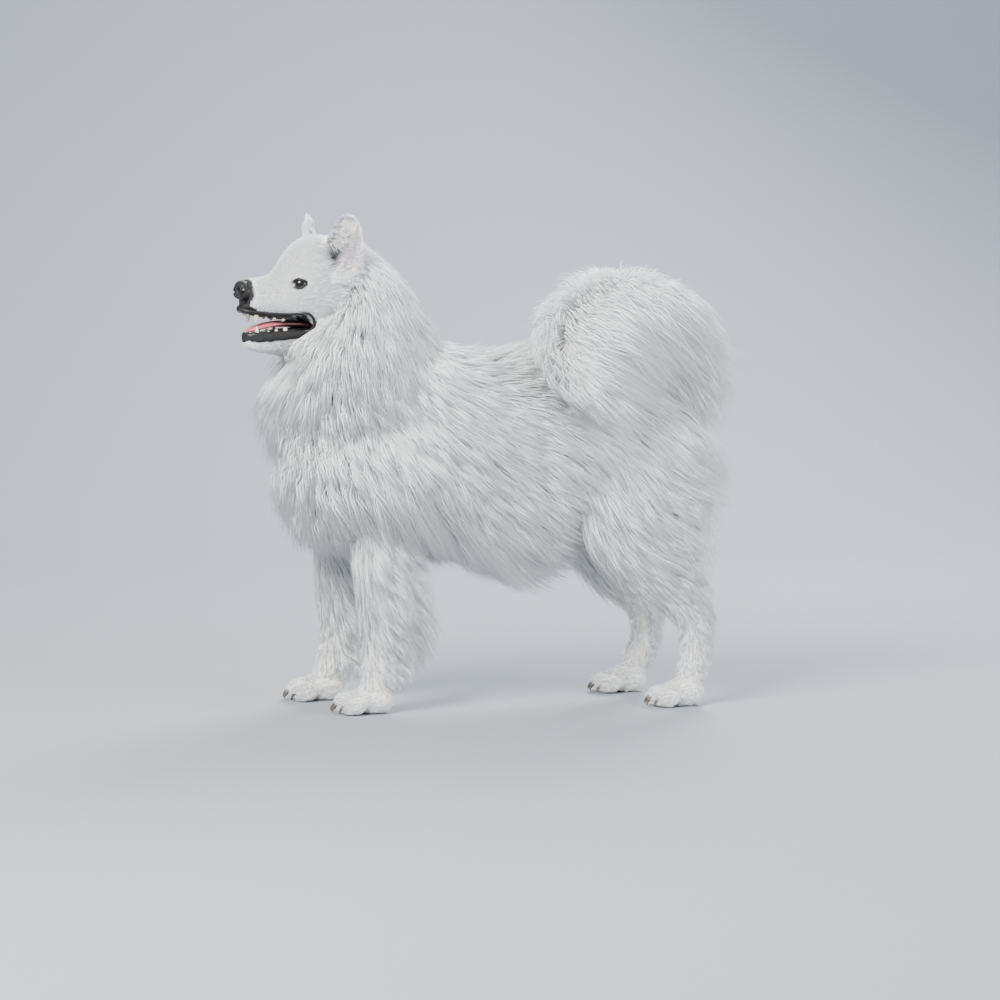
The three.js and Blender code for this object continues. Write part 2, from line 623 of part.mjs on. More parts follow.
// Tail. It rises from the croup, curls forwards over the back and falls on the left flank.
const tailStation = (x, y, z, flesh, coatOut, coatIn, coatSide, ahead = 0) => ({
  at: [x, y, z],
  out: flesh,
  in: flesh,
  side: flesh,
  coatOut,
  coatIn,
  coatSide,
  ahead,
});
const tail = new Limb(
  [
    tailStation(226, 0, 440, 28, 30, 8, 20, 0),
    tailStation(258, 0, 490, 32, 80, 50, 40, -34),
    tailStation(268, -2, 540, 32, 60, 72, 46, -30),
    tailStation(242, -18, 586, 30, 54, 84, 50, -14),
    tailStation(190, -46, 604, 28, 44, 86, 52),
    tailStation(134, -82, 588, 26, 72, 84, 50, 4),
    tailStation(98, -112, 546, 22, 88, 78, 44, 4),
    tailStation(98, -132, 498, 17, 66, 66, 36),
    tailStation(134, -138, 466, 8, 40, 40, 24, 30),
  ],
  (centre) => vec(centre.x - CURL_CENTRE.x, 0, centre.z - CURL_CENTRE.z),
);

// The coated parts: a core of flesh and undercoat, and rows of locks over it.
const coated = (limb, core, ...rows) => [limb.body({ ...core, lift: CORE }), limb, rows.flatMap((row) => limb.rows(row))];

function neck() {
  const crest = { seed: 11, from: 0.02, to: 0.3, rows: 3, spacing: 62, angles: [-100, 100], along: 88, width: 62 };
  const mane = { seed: 12, from: 0.16, to: 0.62, rows: 4, spacing: 62, angles: [100, 260], along: 92, width: 62 };
  return coated(neckLine, { along: 7, around: 16, to: 0.8 }, crest, mane);
}

function chest() {
  const end = trunkPlace(TRUNK_CUT);
  const coat = { along: 104, down: 70, width: 70, spacing: 76 };
  const brisket = { ...coat, seed: 22, from: 0.03, to: 0.22, rows: 4, along: 88, down: 60 };
  const flank = { ...coat, seed: 21, from: 0.3, to: end - 0.08, rows: 4 };
  return coated(trunk, { along: 8, around: 14, to: end }, brisket, flank);
}

function loin() {
  const start = trunkPlace(TRUNK_CUT);
  const flank = { seed: 31, from: start + 0.02, to: 0.86, rows: 4, spacing: 66, along: 95, down: 60, width: 64 };
  return coated(trunk, { along: 6, around: 14, from: start }, flank);
}

function tailPart(seed, from, to, rows, angles, along, down) {
  const plume = { seed, from: from + 0.06, to: to - 0.04, rows, spacing: 54, angles, along, down, width: 58 };
  return coated(tail, { along: 4, around: 12, from, to }, plume);
}

function forelegPart(side, step) {
  const feather = { seed: 41, from: 0.16, to: 0.66, rows: 5, spacing: 50, angles: [-70, 70], along: 62, width: 38 };
  return coated(foreleg(side, step), { along: 7, around: 12 }, { ...feather, thickness: 8 });
}

function thigh(side, step) {
  const angles = [80 * side, -160 * side];
  const breeches = { seed: 61, from: 0.06, to: 0.5, rows: 5, spacing: 58, angles, along: 88, width: 64 };
  return coated(hindleg(side, step), { along: 7, around: 14, to: HOCK_PLACE }, breeches);
}

function hock(side, step) {
  const feather = { seed: 62, from: 0.56, to: 0.78, rows: 3, spacing: 40, angles: [-45, 45], along: 45, width: 30 };
  return coated(hindleg(side, step), { along: 6, around: 12, from: HOCK_PLACE }, { ...feather, thickness: 8 });
}

// Each core in turn is cut clear of those before it.
const parts = [];
const cutterOf = (made) => join(made, swollen(made, GAP));
const apart = (a, b) => [0, 1, 2].some((i) => a.max[i] < b.min[i] || b.max[i] < a.min[i]);
const near = (made, others) => others.filter((other) => !apart(made.boundingBox(), other.boundingBox()));

function place(name, core, limb, locks = []) {
  const before = near(core, parts.map((part) => part.cutter));
  const made = largest(before.reduce((rest, cutter) => rest.subtract(cutter), core));
  parts.push({ name, made, limb, locks, cutter: cutterOf(made) });
}

place("neck", ...neck());
place("chest", ...chest());
place("loin", ...loin());
place("nose", nose());
place("tongue", tongue());
for (const [name, side] of Object.entries(SIDES)) place(`eye_${name}`, eye(-side));
place("head", head());
for (const [name, side] of Object.entries(SIDES)) place(`ear_${name}`, ear(-side));
place("jaw", jaw());
for (const [name, side] of Object.entries(SIDES)) {
  const foreStep = side > 0 ? FORE_STEP : 0;
  const hindStep = side > 0 ? HIND_STEP : 0;
  place(`forepaw_${name}`, paw(FOREPAW.x - foreStep, (side * LEG_SPREAD) / 2, FOREPAW));
  place(`foreleg_${name}`, ...forelegPart(side, foreStep));
  place(`hindpaw_${name}`, paw(HINDPAW.x - hindStep, side * (LEG_SPREAD / 2 + 5), HINDPAW));
  place(`hock_${name}`, ...hock(side, hindStep));
  place(`thigh_${name}`, ...thigh(side, hindStep));
}
place("tail_root", ...tailPart(51, 0, 0.36, 3, [-110, 110], -85, 0));
place("tail_arch", ...tailPart(52, 0.36, 0.68, 3, [-180, 180], -50, 60));
place("tail_end", ...tailPart(53, 0.68, 1, 3, [-180, 180], 60, 0));

// A lock stays as it is drawn, or is bent aside, laid lower or made shorter until it clears all other parts, or is
// left out where it finds no way. Its root has to sink into its own core.
const BENDS = [
  { turn: 0, length: 1, rise: 1 },
  { turn: 0, length: 1, rise: 0.85 },
  { turn: 12, length: 0.95, rise: 1 },
  { turn: -12, length: 0.95, rise: 1 },
  { turn: 0, length: 0.75, rise: 0.95 },
  { turn: 24, length: 0.8, rise: 0.95 },
  { turn: -24, length: 0.8, rise: 0.95 },
  { turn: 0, length: 0.55, rise: 0.9 },
  { turn: 40, length: 0.6, rise: 0.85 },
  { turn: -40, length: 0.6, rise: 0.85 },
  { turn: 0, length: 0.4, rise: 0.8 },
];
const ROOTED = 0.05; // least share of a lock that lies in its own core

function growLocks(part) {
  const others = parts.filter((other) => other !== part).map((other) => other.cutter);
  const grown = [];
  for (const lock of part.locks) {
    for (const { turn, length, rise } of BENDS) {
      const bent = { ...lock, along: lock.along * length, tip: lock.tip * rise, round: lock.round + turn };
      const made = part.limb.lock(bent);
      if (made.intersect(part.made).volume() < ROOTED * made.volume()) continue;
      if (near(made, others).some((other) => made.intersect(other).volume() > 0)) continue;
      grown.push(made);
      break;
    }
  }
  return grown;
}

// The shortest edges are closed up as far as the part stays clear of the rest.
const outermost = [...parts].reverse();
for (const part of outermost) {
  if (part.locks.length) part.made = largest(join(part.made, growLocks(part)));
  const others = parts.filter((other) => other !== part).map((other) => other.made);
  const clear = (made) => near(made, others).every((other) => made.intersect(other).volume() < 1e-4);
  const choices = [SHORTEST, SHORTEST / 4, SHORTEST / 16].map((shortest) => () => smoothed(part.made, shortest));
  part.made = choices.map((make) => make()).find(clear) ?? part.made;
  part.cutter = cutterOf(part.made);
}
const fitted = new Map(parts.map((part) => [part.name, part]));

// The looks of each part.
const finish = (color, roughness) => new THREE.MeshStandardMaterial({ color, roughness, metalness: 0 });
const FINISHES = {
  nose: finish(0x1a1816, 0.45),
  tongue: finish(0xd07a80, 0.5),
  eye: finish(0x241710, 0.1),
  coat: finish(0xf2f1ec, 0.9),
};

function mesh(name, group) {
  const { vertProperties, triVerts } = fitted.get(name).made.getMesh();
  const geometry = new THREE.BufferGeometry();
  geometry.setAttribute("position", new THREE.BufferAttribute(vertProperties, 3));
  geometry.setIndex(new THREE.BufferAttribute(triVerts, 1));
  geometry.applyMatrix4(group.matrix.clone().invert());
  geometry.computeVertexNormals();
  const made = new THREE.Mesh(geometry, FINISHES[name.split("_")[0]] ?? FINISHES.coat);
  made.name = name;
  return made;
}

function group(place, turn, ...names) {
  const made = new THREE.Group();
  made.position.copy(place);
  made.rotation.z = turn;
  made.updateMatrix();
  made.add(...names.map((name) => mesh(name, made)));
  return made;
}

const pair = (name) => Object.keys(SIDES).map((side) => `${name}_${side}`);
const dog = new THREE.Group();
dog.add(
  group(HEAD_CENTRE, HEAD_TURN, "head", "jaw", "tongue", "nose", ...pair("eye"), ...pair("ear")),
  group(vec(0, 0, 0), 0, "neck", "chest", "loin", "tail_root", "tail_arch", "tail_end"),
  group(vec(FOREPAW.x, 0, 0), 0, ...pair("foreleg"), ...pair("forepaw")),
  group(vec(HINDPAW.x, 0, 0), 0, ...pair("thigh"), ...pair("hock"), ...pair("hindpaw")),
);

// The origin is on the floor under the middle of the dog.
const box = new THREE.Box3().setFromObject(dog, true);
const middle = box.getCenter(vec(0, 0, 0));
dog.position.set(-middle.x, -middle.y, -box.min.z);

export default dog;
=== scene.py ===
"""A white Samoyed dog, standing, at life size: a still museum model with its whole coat.

One skin lies over the flesh. Tufts of hair root in it and follow the lie of the coat out to its full
depth. The eyes, lids, nose, lips, tongue, teeth and claws are pieces of their own. Sizes are in millimetres
on a maker's frame whose nose points to -X and whose left is -Y, and every mesh is moved onto the solid frame
as it is made.
"""

import json
import math

import bmesh
import bpy
import numpy as np
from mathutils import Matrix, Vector

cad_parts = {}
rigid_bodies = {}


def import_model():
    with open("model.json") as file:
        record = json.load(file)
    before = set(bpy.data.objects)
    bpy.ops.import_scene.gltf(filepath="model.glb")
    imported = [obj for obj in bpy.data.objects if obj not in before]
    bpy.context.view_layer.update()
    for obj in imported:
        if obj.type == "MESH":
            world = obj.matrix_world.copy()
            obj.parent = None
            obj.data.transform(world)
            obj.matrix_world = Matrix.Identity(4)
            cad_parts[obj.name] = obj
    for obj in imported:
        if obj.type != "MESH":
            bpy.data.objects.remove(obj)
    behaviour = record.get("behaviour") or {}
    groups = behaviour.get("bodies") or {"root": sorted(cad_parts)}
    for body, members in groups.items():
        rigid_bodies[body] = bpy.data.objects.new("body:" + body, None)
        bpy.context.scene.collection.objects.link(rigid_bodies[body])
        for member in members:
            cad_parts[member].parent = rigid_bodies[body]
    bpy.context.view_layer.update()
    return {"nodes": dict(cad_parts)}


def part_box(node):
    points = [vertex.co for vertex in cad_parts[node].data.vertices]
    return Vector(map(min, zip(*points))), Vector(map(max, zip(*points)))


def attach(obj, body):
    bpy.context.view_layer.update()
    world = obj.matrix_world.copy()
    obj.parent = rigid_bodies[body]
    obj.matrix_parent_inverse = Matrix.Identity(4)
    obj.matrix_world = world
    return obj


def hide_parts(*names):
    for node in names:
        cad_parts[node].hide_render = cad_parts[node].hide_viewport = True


bl_info = {
    "name": "Standing Samoyed",
    "version": (1, 0, 0),
    "blender": (4, 5, 0),
    "location": "3D View > Sidebar > Samoyed",
    "description": "Builds a life-size standing Samoyed dog with its whole coat",
    "category": "Add Mesh",
}

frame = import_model()

MM = 0.001
UP = np.array([0.0, 0.0, 1.0])
REAR = np.array([1.0, 0.0, 0.0])
SIDES = {"left": -1, "right": 1}

# The maker's frame is tied to the solids by the left forepaw: the back of its heel and its middle line.
LEG_SPREAD = 150.0
FORE_STEP = 54.0
HIND_STEP = 54.0
HIGH_STEP = 0.75  # share of a step that is made above the pastern
PASTERN = 90.0
FOREPAW = {"x": -212.0, "length": 96.0, "width": 66.0, "height": 42.0}
HINDPAW = {"x": 258.0, "length": 92.0, "width": 60.0, "height": 40.0}
HEEL = FOREPAW["x"] + 0.46 * FOREPAW["length"]
paw_low, paw_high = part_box("forepaw_left")
SHIFT = np.array([paw_high.x / MM - HEEL, (paw_low.y + paw_high.y) / 2 / MM + LEG_SPREAD / 2, 0.0])

HEAD_TURN = math.radians(18)
HEAD_CENTRE = np.array([-289.0, -6.0, 648.0])
FORWARD = np.array([-math.cos(HEAD_TURN), -math.sin(HEAD_TURN), 0.0])
LEFT = np.cross(UP, FORWARD)
EYE = {"forward": 24.0, "apart": 31.0, "up": -17.0, "radius": 12.5, "turn": math.radians(40)}
EYE_TILT = math.radians(5)
EAR_HEIGHT = 85.0
EAR_TURN = math.radians(40)
CURL_CENTRE = np.array([165.0, 0.0, 523.0])
BACK_CUT = 10.0  # where the chest's coat gives way to the loin's
LOCK_DEPTH = 5.0  # a lock's own thickness, by which its middle stays under the coat's surface

# The nose pad's balls: each one's place on the head and its half sizes.
NOSE_PAD = [
    ((105, 0, -24), (12.5, 17, 13.5)),
    ((104, 9, -28), (12, 11, 11.5)),
    ((104, -9, -28), (12, 11, 11.5)),
    ((100, 0, -43), (9, 8, 14)),
]
# Each tooth: how far forward and to the side, its radius, and its length, up for the lower teeth.
UPPER_TEETH = [
    (101, 3, 2.6, -3),
    (99, 8, 2.8, -4),
    (89, 15, 4, -12),
    (74, 18, 3.6, -2),
    (62, 20, 4, -3),
    (49, 22, 4.6, -3),
]
LOWER_TEETH = [
    (98, 3, 2.2, 4),
    (96, 8, 2.4, 4),
    (87, 13, 3.6, 11),
    (70, 16, 3.2, 2),
    (58, 18, 3.6, 3),
    (45, 21, 4.2, 4),
]
FANG = 8  # a tooth longer than this is a canine
LIP_POINTS = 420
TOES = (-1.5, -0.5, 0.5, 1.5)
TOE_SPACING = 0.255  # of the paw's width


# Small vector helpers.
def unit(v):
    """The same vectors at length one."""
    return v / np.maximum(np.linalg.norm(v, axis=-1, keepdims=True), 1e-9)


def dot(a, b):
    """Row by row dot product, kept as a column."""
    return (a * b).sum(-1, keepdims=True)


def flat(v, normal):
    """What of v lies in the plane across the normal."""
    return v - dot(v, normal) * normal


def ramp(x, low, high):
    """0 at low, 1 at high, and smooth between."""
    t = np.clip((x - low) / (high - low), 0, 1)
    return t * t * (3 - 2 * t)


def turned(v, axis, angle):
    """A vector turned about a unit axis."""
    c, s = math.cos(angle), math.sin(angle)
    return v * c + np.cross(axis, v) * s + axis * (v @ axis) * (1 - c)


def on_head(forward, left, up):
    """A place given forward, to the left and up from the middle of the skull."""
    return HEAD_CENTRE + forward * FORWARD + left * LEFT + up * UP


def in_head(points):
    """How far forward, to the left and up from the middle of the skull each point lies."""
    away = points - HEAD_CENTRE
    return away @ FORWARD, away @ LEFT, away[:, 2]


# Limbs. A ring's row holds its centre, its reach outwards, inwards and sideways, the coat's depth the same
# ways, how far the coat's ring lies ahead, the section's power, its taper, and the hair's reach along and
# round the limb.
OUT, IN, SIDE, COAT, AHEAD, SQUARE, TAPER, ALONG, ROUND = 3, 4, 5, slice(6, 9), 9, 10, 11, 12, 13


def ring(at, reach, coat=(0, 0, 0), lie=(0, 0), ahead=0.0, square=2.0, taper=0.0):
    """One row of a limb's table."""
    return [*at, *reach, *coat, ahead, square, taper, *lie]


class Limb:
    """A body part as rings of flesh along its bone line, with the depth and the lie of its coat."""

    SAMPLES = 72

    def __init__(self, rings, outward, facing=None):
        self.table = np.array(rings, float)
        self.outward = outward if callable(outward) else lambda centre: np.broadcast_to(outward, centre.shape)
        self.facing = facing
        marks = self.sizes(np.linspace(0, 1, 200))[:, :3]
        self.length = np.linalg.norm(np.diff(marks, axis=0), axis=1).sum()

    def sizes(self, u):
        """The table's rows between the rings, by a smooth curve through them."""
        last = len(self.table) - 1
        place = np.clip(u, 0, 1) * last
        i = np.minimum(place.astype(int), last - 1)
        t = (place - i)[:, None]
        ends = 2 * self.table[0] - self.table[1], 2 * self.table[-1] - self.table[-2]
        rows = np.vstack([ends[0], self.table, ends[1]])
        a, b, c, d = (rows[i + k] for k in range(4))
        square, cube = 2 * a - 5 * b + 4 * c - d, 3 * b - a - 3 * c + d
        return (2 * b + (c - a) * t + square * t**2 + cube * t**3) / 2

    def axes(self, u):
        """The sizes, and the directions along, outwards and to the left, at each place."""
        sizes = self.sizes(u)
        if self.facing is None:
            step = 0.01
            after, before = self.sizes(np.minimum(u + step, 1)), self.sizes(np.maximum(u - step, 0))
            along = unit(after[:, :3] - before[:, :3])
        else:
            along = np.broadcast_to(self.facing, (len(u), 3))
        out = unit(flat(self.outward(sizes[:, :3]), along))
        return sizes, along, out, np.cross(along, out)

    def point(self, u, angle, lift=0.0):
        """Places on the surface, at an angle from outwards to the left, lifted by a share of the coat."""
        given = (np.atleast_1d(np.asarray(v, float)) for v in (u, angle, lift))
        u, angle, lift = np.broadcast_arrays(*given)
        sizes, along, out, left = self.axes(u)
        power = 2 / sizes[:, SQUARE]
        cos = np.sign(np.cos(angle)) * np.abs(np.cos(angle)) ** power
        sin = np.sign(np.sin(angle)) * np.abs(np.sin(angle)) ** power
        coat_out, coat_in, coat_side = sizes[:, COAT].T
        reach = np.where(cos > 0, sizes[:, OUT] + lift * coat_out, sizes[:, IN] + lift * coat_in)
        aside = (sizes[:, SIDE] + lift * coat_side) * (1 - sizes[:, TAPER] * cos)
        past = lift * sizes[:, AHEAD] + (u - np.clip(u, 0, 1)) * self.length
        place = sizes[:, :3] + out * (cos * reach)[:, None] + left * (sin * aside)[:, None]
        return place + along * past[:, None]

    def loft(self, along=60, around=40, lift=0.0, start=0.0, end=1.0):
        """The closed surface, as points and faces."""
        u = np.repeat(np.linspace(start, end, along + 1), around)
        angle = np.tile(np.arange(around) * 2 * math.pi / around, along + 1)
        return closed(self.point(u, angle, lift).reshape(along + 1, around, 3))

    def nearest(self, points):
        """Each point's place along, its angle, and its distance from the line as a share of the flesh."""
        u = np.linspace(0, 1, self.SAMPLES)
        sizes, along, out, left = self.axes(u)
        found = []
        for some in np.array_split(points, max(1, len(points) // 8000)):
            away = some[:, None] - sizes[None, :, :3]
            plane = np.einsum("nmk,mk->nm", away, along)
            best = np.argmin(plane**2 + 0.08 * (away**2).sum(-1), axis=1)
            rows = np.arange(len(some))
            a = (away[rows, best] * out[best]).sum(-1)
            b = (away[rows, best] * left[best]).sum(-1)
            reach = np.where(a > 0, sizes[best, OUT], sizes[best, IN])
            aside = sizes[best, SIDE]
            ends = (best == 0) | (best == self.SAMPLES - 1)
            beyond = np.where(ends, np.abs(plane[rows, best]), 0)
            shares = np.stack([a / reach, b / aside, beyond / (reach + aside)])
            place = u[best] + np.where(ends, 0, plane[rows, best]) / self.length
            angle = np.arctan2(b / aside, a / reach)
            found.append((np.clip(place, 0, 1), angle, np.linalg.norm(shares, axis=0)))
        return [np.concatenate(values) for values in zip(*found)]

    def hair(self, u, angle):
        """The way from each root to the tip of its hair, and to the point that it bends towards."""
        sizes = self.sizes(u)
        girth = np.linalg.norm(self.point(u, angle + 0.1, 0.5) - self.point(u, angle, 0.5), axis=1) / 0.1
        along = sizes[:, ALONG] / self.length
        turn = sizes[:, ROUND] * np.sin(angle) / np.maximum(girth, 1)
        root = self.point(u, angle)
        end = u + along, angle + turn
        depth = np.linalg.norm(self.point(*end, 1.0) - self.point(*end), axis=1)
        lift = 1 - np.minimum(LOCK_DEPTH / np.maximum(depth, 1), 0.25)
        tip = self.point(*end, lift) - root
        return tip, self.point(u + 0.3 * along, angle + 0.3 * turn, 0.92 * lift) - root


def closed(rings):
    """Points and faces of a grid of rings, closed by a pole at each end."""
    count, around = rings.shape[:2]
    points = np.vstack([rings.reshape(-1, 3), rings[0].mean(0), rings[-1].mean(0)])
    start, end, last = count * around, count * around + 1, (count - 1) * around
    faces = []
    for j in range(around):
        k = (j + 1) % around
        faces.append((start, k, j))
        faces.append((end, last + j, last + k))
        faces += [(i + j, i + k, i + around + k, i + around + j) for i in range(0, last, around)]
    return points, faces


def ball(centre, half, turn=0.0, around=24):
    """A closed ellipsoid of the given half sizes, turned about Z."""
    rise = np.linspace(-math.pi / 2, math.pi / 2, around // 2 + 1)[1:-1]
    angle = np.arange(around) * 2 * math.pi / around
    rings = np.stack(
        [
            np.outer(np.cos(rise), np.cos(angle)),
            np.outer(np.cos(rise), np.sin(angle)),
            np.outer(np.sin(rise), np.ones(around)),
        ],
        axis=-1,
    )
    points, faces = closed(rings)
    points[-2:] = [[0, 0, -1], [0, 0, 1]]
    c, s = math.cos(turn), math.sin(turn)
    return (points * half) @ np.array([[c, s, 0], [-s, c, 0], [0, 0, 1]]) + centre, faces


def through(points, count):
    """A smooth curve through a few points, as many points."""
    line = Limb([ring(p, (1, 1, 1)) for p in points], UP)
    return line.sizes(np.linspace(0, 1, count))[:, :3]


def tube(centres, across, above, around=12, up=UP):
    """A closed tube along a line, with its half widths across and above at each point."""
    along = unit(np.gradient(centres, axis=0))
    side = unit(np.cross(np.broadcast_to(up, along.shape), along))
    over = np.cross(along, side)
    angle = np.arange(around) * 2 * math.pi / around
    widths = np.broadcast_to(across, len(centres))[:, None, None] * np.cos(angle)[None, :, None]
    heights = np.broadcast_to(above, len(centres))[:, None, None] * np.sin(angle)[None, :, None]
    return closed(centres[:, None] + side[:, None] * widths + over[:, None] * heights)


def joined(parts):
    """Several point and face lists as one."""
    points, faces, start = [], [], 0
    for some, own in parts:
        points.append(some)
        faces += [tuple(start + i for i in face) for face in own]
        start += len(some)
    return np.vstack(points), faces


def make(name, parts):
    """A mesh object from parts in the maker's millimetres, moved onto the solids' frame."""
    points, faces = joined(parts)
    mesh = bpy.data.meshes.new(name)
    mesh.from_pydata(((points + SHIFT) * MM).tolist(), [], faces)
    mesh.validate()
    made = bpy.data.objects.new(name, mesh)
    bpy.context.scene.collection.objects.link(made)
    outwards(made)
    mesh.shade_smooth()
    return made


def outwards(made):
    """Turns the faces of a closed mesh out."""
    work = bmesh.new()
    work.from_mesh(made.data)
    bmesh.ops.recalc_face_normals(work, faces=work.faces)
    work.to_mesh(made.data)
    work.free()


def corners(made):
    """A mesh's points in the maker's millimetres."""
    points = np.zeros(len(made.data.vertices) * 3, np.float32)
    made.data.vertices.foreach_get("co", points)
    return points.reshape(-1, 3).astype(float) / MM - SHIFT


def moved_to(made, points):
    """Sets a mesh's points from the maker's millimetres."""
    made.data.vertices.foreach_set("co", ((points + SHIFT) * MM).astype(np.float32).ravel())
    made.data.update()


def applied(made, kind, **settings):
    """Adds a modifier with the given settings and applies it."""
    modifier = made.modifiers.new(kind.title(), kind)
    for name, value in settings.items():
        setattr(modifier, name, value)
    return baked(made)


def baked(made):
    """Turns an object's modifiers into plain mesh."""
    graph = bpy.context.evaluated_depsgraph_get()
    mesh = bpy.data.meshes.new_from_object(made.evaluated_get(graph), depsgraph=graph)
    made.modifiers.clear()
    old = made.data
    made.data = mesh
    mesh.name = made.name
    bpy.data.meshes.remove(old)
    return made


def store(made, name, values):
    """Keeps a number or a vector for each point of a mesh."""
    kind = "FLOAT_VECTOR" if values.ndim > 1 else "FLOAT"
    attribute = made.data.attributes.get(name) or made.data.attributes.new(name, kind, "POINT")
    attribute.data.foreach_set("vector" if values.ndim > 1 else "value", values.astype(np.float32).ravel())


# Node trees.
class Field:
    """A socket in a node tree, so that a formula can be written with plain signs."""

    def __init__(self, tree, socket):
        self.tree = tree
        self.socket = socket

    def _math(self, operation, other):
        ours, theirs = is_vector(self), is_vector(other)
        if operation == "MULTIPLY" and ours != theirs:
            vector, scale = (self, other) if ours else (other, self)
            return node(self.tree, "ShaderNodeVectorMath", {0: vector, "Scale": scale}, operation="SCALE")
        kind = "ShaderNodeVectorMath" if ours or theirs else "ShaderNodeMath"
        return node(self.tree, kind, {0: self, 1: other}, operation=operation)

    def __add__(self, other):
        return self._math("ADD", other)

    def __sub__(self, other):
        return self._math("SUBTRACT", other)

    def __mul__(self, other):
        return self._math("MULTIPLY", other)

    def dot(self, other):
        """The dot product with another vector."""
        sides = {0: self, 1: other}
        return node(self.tree, "ShaderNodeVectorMath", sides, "Value", operation="DOT_PRODUCT")

    def cross(self, other):
        """The cross product with another vector, at length one."""
        crossed = node(self.tree, "ShaderNodeVectorMath", {0: self, 1: other}, operation="CROSS_PRODUCT")
        return node(self.tree, "ShaderNodeVectorMath", {0: crossed}, operation="NORMALIZE")


def is_vector(value):
    """Whether one side of a formula is a vector."""
    return isinstance(value, (tuple, list)) or getattr(getattr(value, "socket", None), "type", "") == "VECTOR"


def node(tree, kind, inputs=None, output=0, **settings):
    """Adds a node, joins or sets its inputs, and gives the wanted output as a field."""
    made = tree.nodes.new(kind)
    for name, value in settings.items():
        setattr(made, name, value)
    for key, value in (inputs or {}).items():
        live = [s for s in made.inputs if s.enabled]
        socket = live[key] if isinstance(key, int) else next(s for s in live if s.name == key)
        if isinstance(value, Field):
            tree.links.new(value.socket, socket)
        else:
            socket.default_value = value
    outputs = [s for s in made.outputs if s.enabled]
    if not outputs:
        return made
    if isinstance(output, int):
        return Field(tree, outputs[output])
    return Field(tree, next(s for s in outputs if s.name == output))


def attribute(tree, name, kind="FLOAT"):
    """Reads a named attribute in a Geometry Nodes tree."""
    return node(tree, "GeometryNodeInputNamedAttribute", {"Name": name}, "Attribute", data_type=kind)


def shader(name):
    """A new material with its tree emptied, and its Principled shader joined to the output."""
    made = bpy.data.materials.new(name)
    made.use_nodes = True
    tree = made.node_tree
    tree.nodes.clear()
    surface = tree.nodes.new("ShaderNodeBsdfPrincipled")
    output = tree.nodes.new("ShaderNodeOutputMaterial")
    tree.links.new(surface.outputs["BSDF"], output.inputs["Surface"])
    return made, tree, surface


def join_to(tree, field, surface, name):
    """Joins a field to one of the shader's inputs."""
    tree.links.new(field.socket, surface.inputs[name])


def noise(tree, scale, detail=3.0, where=None, distortion=0.0):
    """A noise on the object's own coordinates."""
    where = where or node(tree, "ShaderNodeTexCoord", output="Object")
    inputs = {"Vector": where, "Scale": scale, "Detail": detail, "Distortion": distortion}
    return node(tree, "ShaderNodeTexNoise", inputs)


def blend_colors(tree, factor, first, second):
    """Between two colours by a factor."""
    return node(tree, "ShaderNodeMix", {"Factor": factor, "A": first, "B": second}, data_type="RGBA")


def bumped(tree, surface, height, strength, depth):
    """Adds relief to the shader, of a depth in metres."""
    bump = node(tree, "ShaderNodeBump", {"Height": height, "Strength": strength, "Distance": depth})
    join_to(tree, bump, surface, "Normal")


def stored(tree, name, output="Fac"):
    """Reads one of the mesh's own attributes in a material."""
    return node(tree, "ShaderNodeAttribute", output=output, attribute_name=name)


def remap(tree, value, low=0.0, high=1.0, least=0.0, most=1.0):
    """A value's share of the way from low to high, as a number from least to most."""
    fields = {"Value": value, "From Min": low, "From Max": high, "To Min": least, "To Max": most}
    return node(tree, "ShaderNodeMapRange", fields)


def tone(color, *shares):
    """A colour with its alpha, times one share, or times a share for each of its parts."""
    return (*(c * share for c, share in zip(color, (shares or (1.0,)) * 3)), 1.0)


# Sizes and colours that a user may change.
class SkinSettings(bpy.types.PropertyGroup):
    """The skin's fineness."""

    grain: bpy.props.FloatProperty(
        name="Grain",
        description="Edge length of the skin's first mesh",
        default=0.003,
        min=0.002,
        unit="LENGTH",
    )
    kept: bpy.props.FloatProperty(
        name="Kept",
        description="Share of the faces kept where the skin is flat",
        default=0.6,
        max=1,
        subtype="FACTOR",
    )
    color: bpy.props.FloatVectorProperty(
        name="Colour",
        description="Colour of the fine down on the skin",
        default=(0.80, 0.77, 0.72),
        subtype="COLOR",
    )


class CoatSettings(bpy.types.PropertyGroup):
    """The coat's colour and fullness."""

    tips: bpy.props.FloatVectorProperty(
        name="Tips", description="Colour of the hair's tips", default=(0.97, 0.97, 0.965), subtype="COLOR"
    )
    # The roots' grey-blue is painted shade deep in the coat.
    roots: bpy.props.FloatVectorProperty(
        name="Roots",
        description="Colour of the hair near the skin",
        default=(0.82, 0.83, 0.85),
        subtype="COLOR",
    )
    fullness: bpy.props.FloatProperty(
        name="Fullness",
        description="Share of the locks that are made",
        default=1,
        min=0.1,
        max=1,
        subtype="FACTOR",
    )
    seed: bpy.props.IntProperty(name="Seed", description="Start of the coat's random draws", default=7)


class HeadSettings(bpy.types.PropertyGroup):
    """The bare parts of the head."""

    iris: bpy.props.FloatVectorProperty(
        name="Iris", description="Colour of the iris", default=(0.007, 0.003, 0.002), subtype="COLOR"
    )
    pigment: bpy.props.FloatVectorProperty(
        name="Pigment",
        description="Colour of the nose, lips and lids",
        default=(0.007, 0.0065, 0.007),
        subtype="COLOR",
    )
    tongue: bpy.props.FloatVectorProperty(
        name="Tongue", description="Colour of the tongue", default=(0.60, 0.13, 0.16), subtype="COLOR"
    )
    teeth: bpy.props.FloatVectorProperty(
        name="Teeth", description="Colour of the teeth", default=(0.80, 0.74, 0.60), subtype="COLOR"
    )


